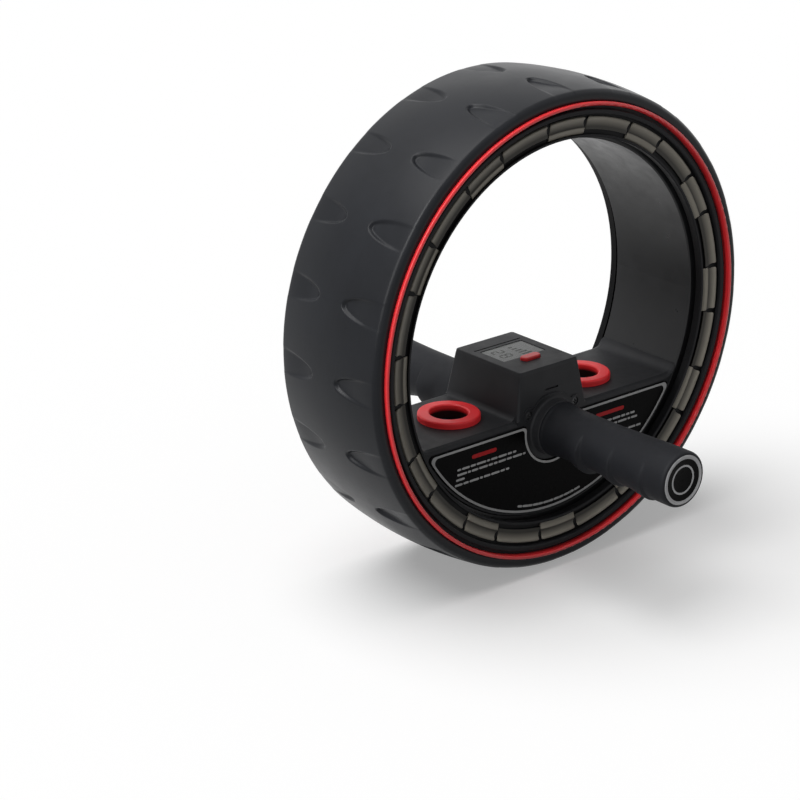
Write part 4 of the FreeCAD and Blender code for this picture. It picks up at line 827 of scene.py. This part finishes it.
class ROLLER_OT_prints(bpy.types.Operator):
    """Printed line round each cover, with plain bars and rows of dashes inside it"""

    bl_idname = "roller.prints"
    bl_label = "Cover prints"

    def execute(self, context):
        width, margin = context.scene.roller_sizes.print_line / MM, 0.6
        face, height, red_level, red_width, row_width, low_width = 36.16, 0.14, -68.4, 2.7, 1.45, 1.5
        edges = cover_edge(margin), cover_edge(margin + width)
        red = [((x0, red_level), (x1, red_level), red_width) for x0, x1 in ((-68.5, -50.3), (39.3, 62.5))]
        lines = ((-82.0, -32.0, -74.2), (-82.0, -24.0, -77.6), (-83.0, -75.0, -81.0), (-84.0, -38.0, -84.4),
                 (44.0, 74.0, -74.2), (38.0, 78.0, -77.6), (41.0, 60.0, -81.0), (46.0, 80.0, -84.4))
        rows = []
        for index, (x0, x1, z) in enumerate(lines):
            rows += dashes((x0, z), (x1, z), row_width, index * 3)
        low = arc_points((0, 0), 117.2, radians(255.5), radians(282.5), 60)
        rows += [(low[index], low[index + 3 + index % 2], low_width) for index in range(0, 57, 5)]
        for end, side in SIDES:
            line = flat_band(f"cover_line_{end}", *edges, side, face, height, "print_grey")
            seat_piece(line, "frame", "cover_black")
            bars = flat_bars(f"cover_bars_{end}", red, side, face, height, "print_red")
            seat_piece(bars, "frame", "accent_red")
            thin = flat_bars(f"cover_rows_{end}", rows, side, face, height * 0.8, "print_grey")
            seat_piece(thin, "frame", "cover_black")
        return {"FINISHED"}


SEGMENTS = {"2": "abged", "8": "abcdefg"}


def digit_bars(digit, height):
    """The lit bars of a seven bar digit, as corner lists across and up from its lower left."""
    width, thick, gap, half = height * 0.52, height * 0.135, height * 0.018, height / 2
    ends = {
        "a": ((0, height), (width, height)), "g": ((0, half), (width, half)), "d": ((0, 0), (width, 0)),
        "f": ((0, half), (0, height)), "b": ((width, half), (width, height)),
        "e": ((0, 0), (0, half)), "c": ((width, 0), (width, half)),
    }
    bars = []
    for key in SEGMENTS[digit]:
        start, stop = (Vector(end) for end in ends[key])
        along = (stop - start).normalized()
        aside = Vector((-along.y, along.x)) * thick / 2
        near, far = start + along * gap, stop - along * gap
        inset = along * thick / 2
        bars.append([near, near + inset - aside, far - inset - aside, far, far - inset + aside,
                     near + inset + aside])
    return bars


def soft_slab(name, low, high, rounding, finish):
    """A slab with rounded edges between two corners."""
    build = bmesh.new()
    bmesh.ops.create_cube(build, size=1.0)
    low, high = Vector(low), Vector(high)
    for corner in build.verts:
        corner.co = (low + high) / 2 + Vector(a * b for a, b in zip(corner.co, high - low))
    bmesh.ops.bevel(build, geom=build.edges[:], offset=rounding, segments=2, affect="EDGES")
    slab = add_mesh(name, [], [], finish)
    build.to_mesh(slab.data)
    build.free()
    return tidy_mesh(slab, 50.0)


class ROLLER_OT_display(bpy.types.Operator):
    """Display under its clear film, with plain seven bar digits and a row of level bars"""

    bl_idname = "roller.display"
    bl_label = "Display"

    def execute(self, context):
        height = context.scene.roller_sizes.digit_height
        low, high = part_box("display_window")
        level, film = high.z - 0.00035, high.z - 0.00022
        card = soft_slab("display_card", low, (high.x, high.y, level), 0.0001, "display")
        seat_piece(card, "frame", "display_grey", "display_window")
        cover = soft_slab("display_film", (low.x, low.y, film), high, 0.00006, "pane")
        seat_piece(cover, "frame", "window_clear", "display_window")
        top, foot, digit_pitch = (low.y + high.y) / 2 + 0.0072, -0.0128, 0.0082
        bar_foot, bar_pitch, bar_width, first_bar, bar_growth = 0.002, 0.0034, 0.0016, 0.0030, 0.0013
        outlines = []
        for index, digit in enumerate("28"):
            start = top - index * digit_pitch
            for bar in digit_bars(digit, height):
                outlines.append([(foot + place.y, start - place.x) for place in bar])
        for index in range(5):
            head = bar_foot + (first_bar + bar_growth * index)
            right = top - index * bar_pitch
            left = right - bar_width
            outlines.append([(bar_foot, right), (bar_foot, left), (head, left), (head, right)])
        points, faces = prisms(outlines, lambda x, y, z: (x, y, z), (level - 0.00004, level + 0.00005))
        digits = tidy_mesh(add_mesh("display_digits", points, faces, "digit"), 30.0)
        seat_piece(digits, "frame", "display_grey")
        return {"FINISHED"}


class ROLLER_OT_screws(bpy.types.Operator):
    """Domed collar screws with a cross recess"""

    bl_idname = "roller.screws"
    bl_label = "Collar screws"

    def execute(self, context):
        head, shank, point, depth, taper, around = 0.0025, 0.0014, 0.0004, 0.0012, 0.0006, 48
        dome, recess, arm_half, arm_reach = 0.0004, 0.0008, 0.00058, 0.0017
        radii = [0.0, 0.00025, 0.0005, 0.0007, 0.0009, 0.0011, 0.0013, 0.0015, 0.0017, 0.0019, 0.0021, 0.0023,
                 0.00242, head]
        angles = [tau * step / around for step in range(around)]
        for end, side in SIDES:
            low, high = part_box(f"collar_screws_{end}")
            face, tip = (high.y, low.y) if side > 0 else (low.y, high.y)
            points = []
            for radius in radii:
                for angle in angles:
                    x, z = radius * cos(angle), radius * sin(angle)
                    arm = smooth_step((arm_half - min(abs(x), abs(z))) / 0.00022)
                    sunk = recess * arm * smooth_step((arm_reach - radius) / 0.0003)
                    points.append((x, face - side * (dome * (radius / head) ** 2 + sunk), z))
            under = face - side * depth
            for radius, place in ((head, under), (shank, under), (shank, tip + side * taper), (point, tip)):
                points += [(radius * cos(angle), place, radius * sin(angle)) for angle in angles]
            faces = sheet_faces(len(points) // around, around)
            faces.append(tuple(range(len(points) - around, len(points))))
            pattern = tidy_mesh(add_mesh(f"screw_pattern_{end}", points, faces), 40.0, 1e-7)
            across, height = (high.x - low.x) / 2 - head, (low.z + high.z) / 2
            screws = add_mesh(f"cross_screws_{end}", [(-across, 0, height), (across, 0, height)], [])
            grow(screws, "points", {"Copy": pattern, "Finish": FINISHES["screw"]})
            bpy.data.objects.remove(pattern)
            tidy_mesh(screws, 40.0)
            seat_piece(screws, "frame", "screw_steel", f"collar_screws_{end}")
        return {"FINISHED"}


class ROLLER_OT_caps(bpy.types.Operator):
    """Light rim and one plain ring on the face of each end cap"""

    bl_idname = "roller.caps"
    bl_label = "Cap faces"

    def execute(self, context):
        centre = (0, context.scene.roller_sizes.handle_height / MM)
        for end, side in SIDES:
            low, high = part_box(f"end_cap_{end}")
            face = max(abs(low.y), abs(high.y)) / MM
            for name, outer, width, sunk, height in (("rim", 14.6, 0.9, 0.05, 0.15), ("ring", 9.6, 1.2, 0.6, 0.3)):
                edges = [arc_points(centre, radius, 0, tau, 96)[:-1] for radius in (outer, outer - width)]
                band = flat_band(f"cap_{name}_{end}", *edges, side, face - sunk, height, "ring")
                seat_piece(band, "frame", "ring_silver")
        return {"FINISHED"}


class ROLLER_OT_finishes(bpy.types.Operator):
    """Finishes for all pieces, set on the solid ones that show as they are"""

    bl_idname = "roller.finishes"
    bl_label = "Finishes"

    def execute(self, context):
        make_finishes(context.scene.roller_colours)
        missing = set(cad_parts) - set(NODE_FINISHES)
        if missing:
            raise RuntimeError(f"no finish for {sorted(missing)}")
        for name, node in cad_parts.items():
            node.data.materials.clear()
            node.data.materials.append(FINISHES[NODE_FINISHES[name]])
        return {"FINISHED"}


# Strength, angle covered and source of each lamp: broad overhead, at the left, and small to draw the edges.
LAMPS = {
    "top": (2.5, radians(54), (-0.26, 0.20, 0.945)),
    "side": (1.5, radians(40), (-0.91, -0.02, 0.42)),
    "glint": (0.9, radians(12), (-0.68, 0.08, 0.73)),
}


def seen_or_mirrored(tree):
    """1 for rays that show a surface to the eye, straight, in a reflection or through glass."""
    rays = add_node(tree, "ShaderNodeLightPath").outputs
    straight = math_of(tree, "MAXIMUM", rays["Is Camera Ray"], rays["Is Glossy Ray"])
    return math_of(tree, "MAXIMUM", straight, rays["Is Transmission Ray"])


def add_surround(scene, ambient):
    """White surround that lights the roller only a little."""
    scene.world = bpy.data.worlds.new("white_surround")
    scene.world.use_nodes = True
    tree = scene.world.node_tree
    level = spread(tree, seen_or_mirrored(tree), ambient, 1.0, 0.0, 1.0)
    fill(tree, tree.nodes["Background"], {"Color": (1, 1, 1), "Strength": level})


def add_floor(level, lit, white):
    """White floor that keeps the roller's shadow, for the light that falls on it."""
    half, paint, bounce = 30, 0.78, 0.5
    corners = [(x * half, y * half, level) for x, y in ((-1, -1), (1, -1), (1, 1), (-1, 1))]
    floor = add_mesh("floor", corners, [(0, 1, 2, 3)])
    material, tree, shader, _ = new_finish("white_floor")
    seen = seen_or_mirrored(tree)
    pale = spread(tree, seen, bounce, paint, 0.0, 1.0)
    fill(tree, shader, {"Base Color": pale, "Roughness": 0.9, "Specular IOR Level": 0.0})
    lift = math_of(tree, "MULTIPLY", seen, white - paint * lit)
    glow = add_node(tree, "ShaderNodeEmission", {"Strength": lift})
    both = add_node(tree, "ShaderNodeAddShader", {0: shader.outputs[0], 1: glow.outputs[0]})
    fill(tree, tree.nodes["Material Output"], {"Surface": both.outputs[0]})
    floor.data.materials.append(material)
    return floor


def add_camera(stage):
    """Camera at the photograph's viewing angle."""
    turn, rise = stage.camera_turn, stage.camera_rise
    right = Vector((cos(turn), sin(turn), 0))
    back = Vector((sin(turn) * cos(rise), -cos(turn) * cos(rise), sin(rise)))
    pose = Matrix((right, back.cross(right), back)).transposed().to_4x4()
    pose.translation = Vector(stage.camera_place)
    data = bpy.data.cameras.new("photo_camera")
    data.sensor_width, data.lens, data.clip_end = 36.0, stage.lens, 100.0
    camera = bpy.data.objects.new("photo_camera", data)
    camera.matrix_world = pose
    bpy.context.scene.collection.objects.link(camera)
    return camera


class ROLLER_OT_stage(bpy.types.Operator):
    """White floor and background, soft lamps and the camera"""

    bl_idname = "roller.stage"
    bl_label = "Stage"

    def execute(self, context):
        stage, scene = context.scene.roller_stage, context.scene
        scene.view_settings.view_transform = "Standard"
        add_surround(scene, stage.ambient)
        strength, _, source = LAMPS["top"]
        lit = stage.ambient + strength * Vector(source).normalized().z / pi
        floor = add_floor(CAD_BOX[0][2], lit, stage.floor_white)
        unlit = bpy.data.collections.new("floor_apart")
        unlit.objects.link(floor)
        unlit.collection_objects[0].light_linking.link_state = "EXCLUDE"
        for name, (strength, angle, source) in LAMPS.items():
            lamp = bpy.data.lights.new(f"{name}_lamp", "SUN")
            lamp.energy, lamp.angle = strength, angle
            holder = bpy.data.objects.new(f"{name}_lamp", lamp)
            holder.rotation_euler = Vector(source).normalized().to_track_quat("Z", "Y").to_euler()
            scene.collection.objects.link(holder)
            if name != "top":
                holder.light_linking.receiver_collection = unlit
        scene.camera = add_camera(stage)
        return {"FINISHED"}


class ROLLER_PT_pieces(bpy.types.Panel):
    """Lists the roller's sizes, colours and pieces"""

    bl_idname = "ROLLER_PT_pieces"
    bl_label = "Ab wheel roller"
    bl_space_type = "VIEW_3D"
    bl_region_type = "UI"
    bl_category = "Roller"

    def draw(self, context):
        layout = self.layout
        for key, _ in GROUPS:
            group, box = getattr(context.scene, key), layout.box()
            for name in group.bl_rna.properties.keys():
                if name not in ("rna_type", "name"):
                    box.prop(group, name)
        for operator in OPERATORS:
            layout.operator(operator.bl_idname)


OPERATORS = (ROLLER_OT_finishes, ROLLER_OT_stage, ROLLER_OT_tyre, ROLLER_OT_trim, ROLLER_OT_grips,
             ROLLER_OT_prints, ROLLER_OT_display, ROLLER_OT_screws, ROLLER_OT_caps)
GROUPS = (("roller_sizes", RollerSizes), ("roller_colours", RollerColours), ("roller_stage", RollerStage))


def register():
    for name, group in GROUPS:
        bpy.utils.register_class(group)
        setattr(bpy.types.Scene, name, bpy.props.PointerProperty(type=group))
    for item in (*OPERATORS, ROLLER_PT_pieces):
        bpy.utils.register_class(item)


def unregister():
    for item in reversed((*OPERATORS, ROLLER_PT_pieces)):
        bpy.utils.unregister_class(item)
    for name, group in GROUPS:
        delattr(bpy.types.Scene, name)
        bpy.utils.unregister_class(group)


def main():
    register()
    bpy.ops.roller.finishes()
    bpy.ops.roller.stage()
    bpy.ops.roller.tyre()
    bpy.ops.roller.trim()
    bpy.ops.roller.grips()
    bpy.ops.roller.prints()
    bpy.ops.roller.display()
    bpy.ops.roller.screws()
    bpy.ops.roller.caps()


if __name__ == "__main__":
    main()
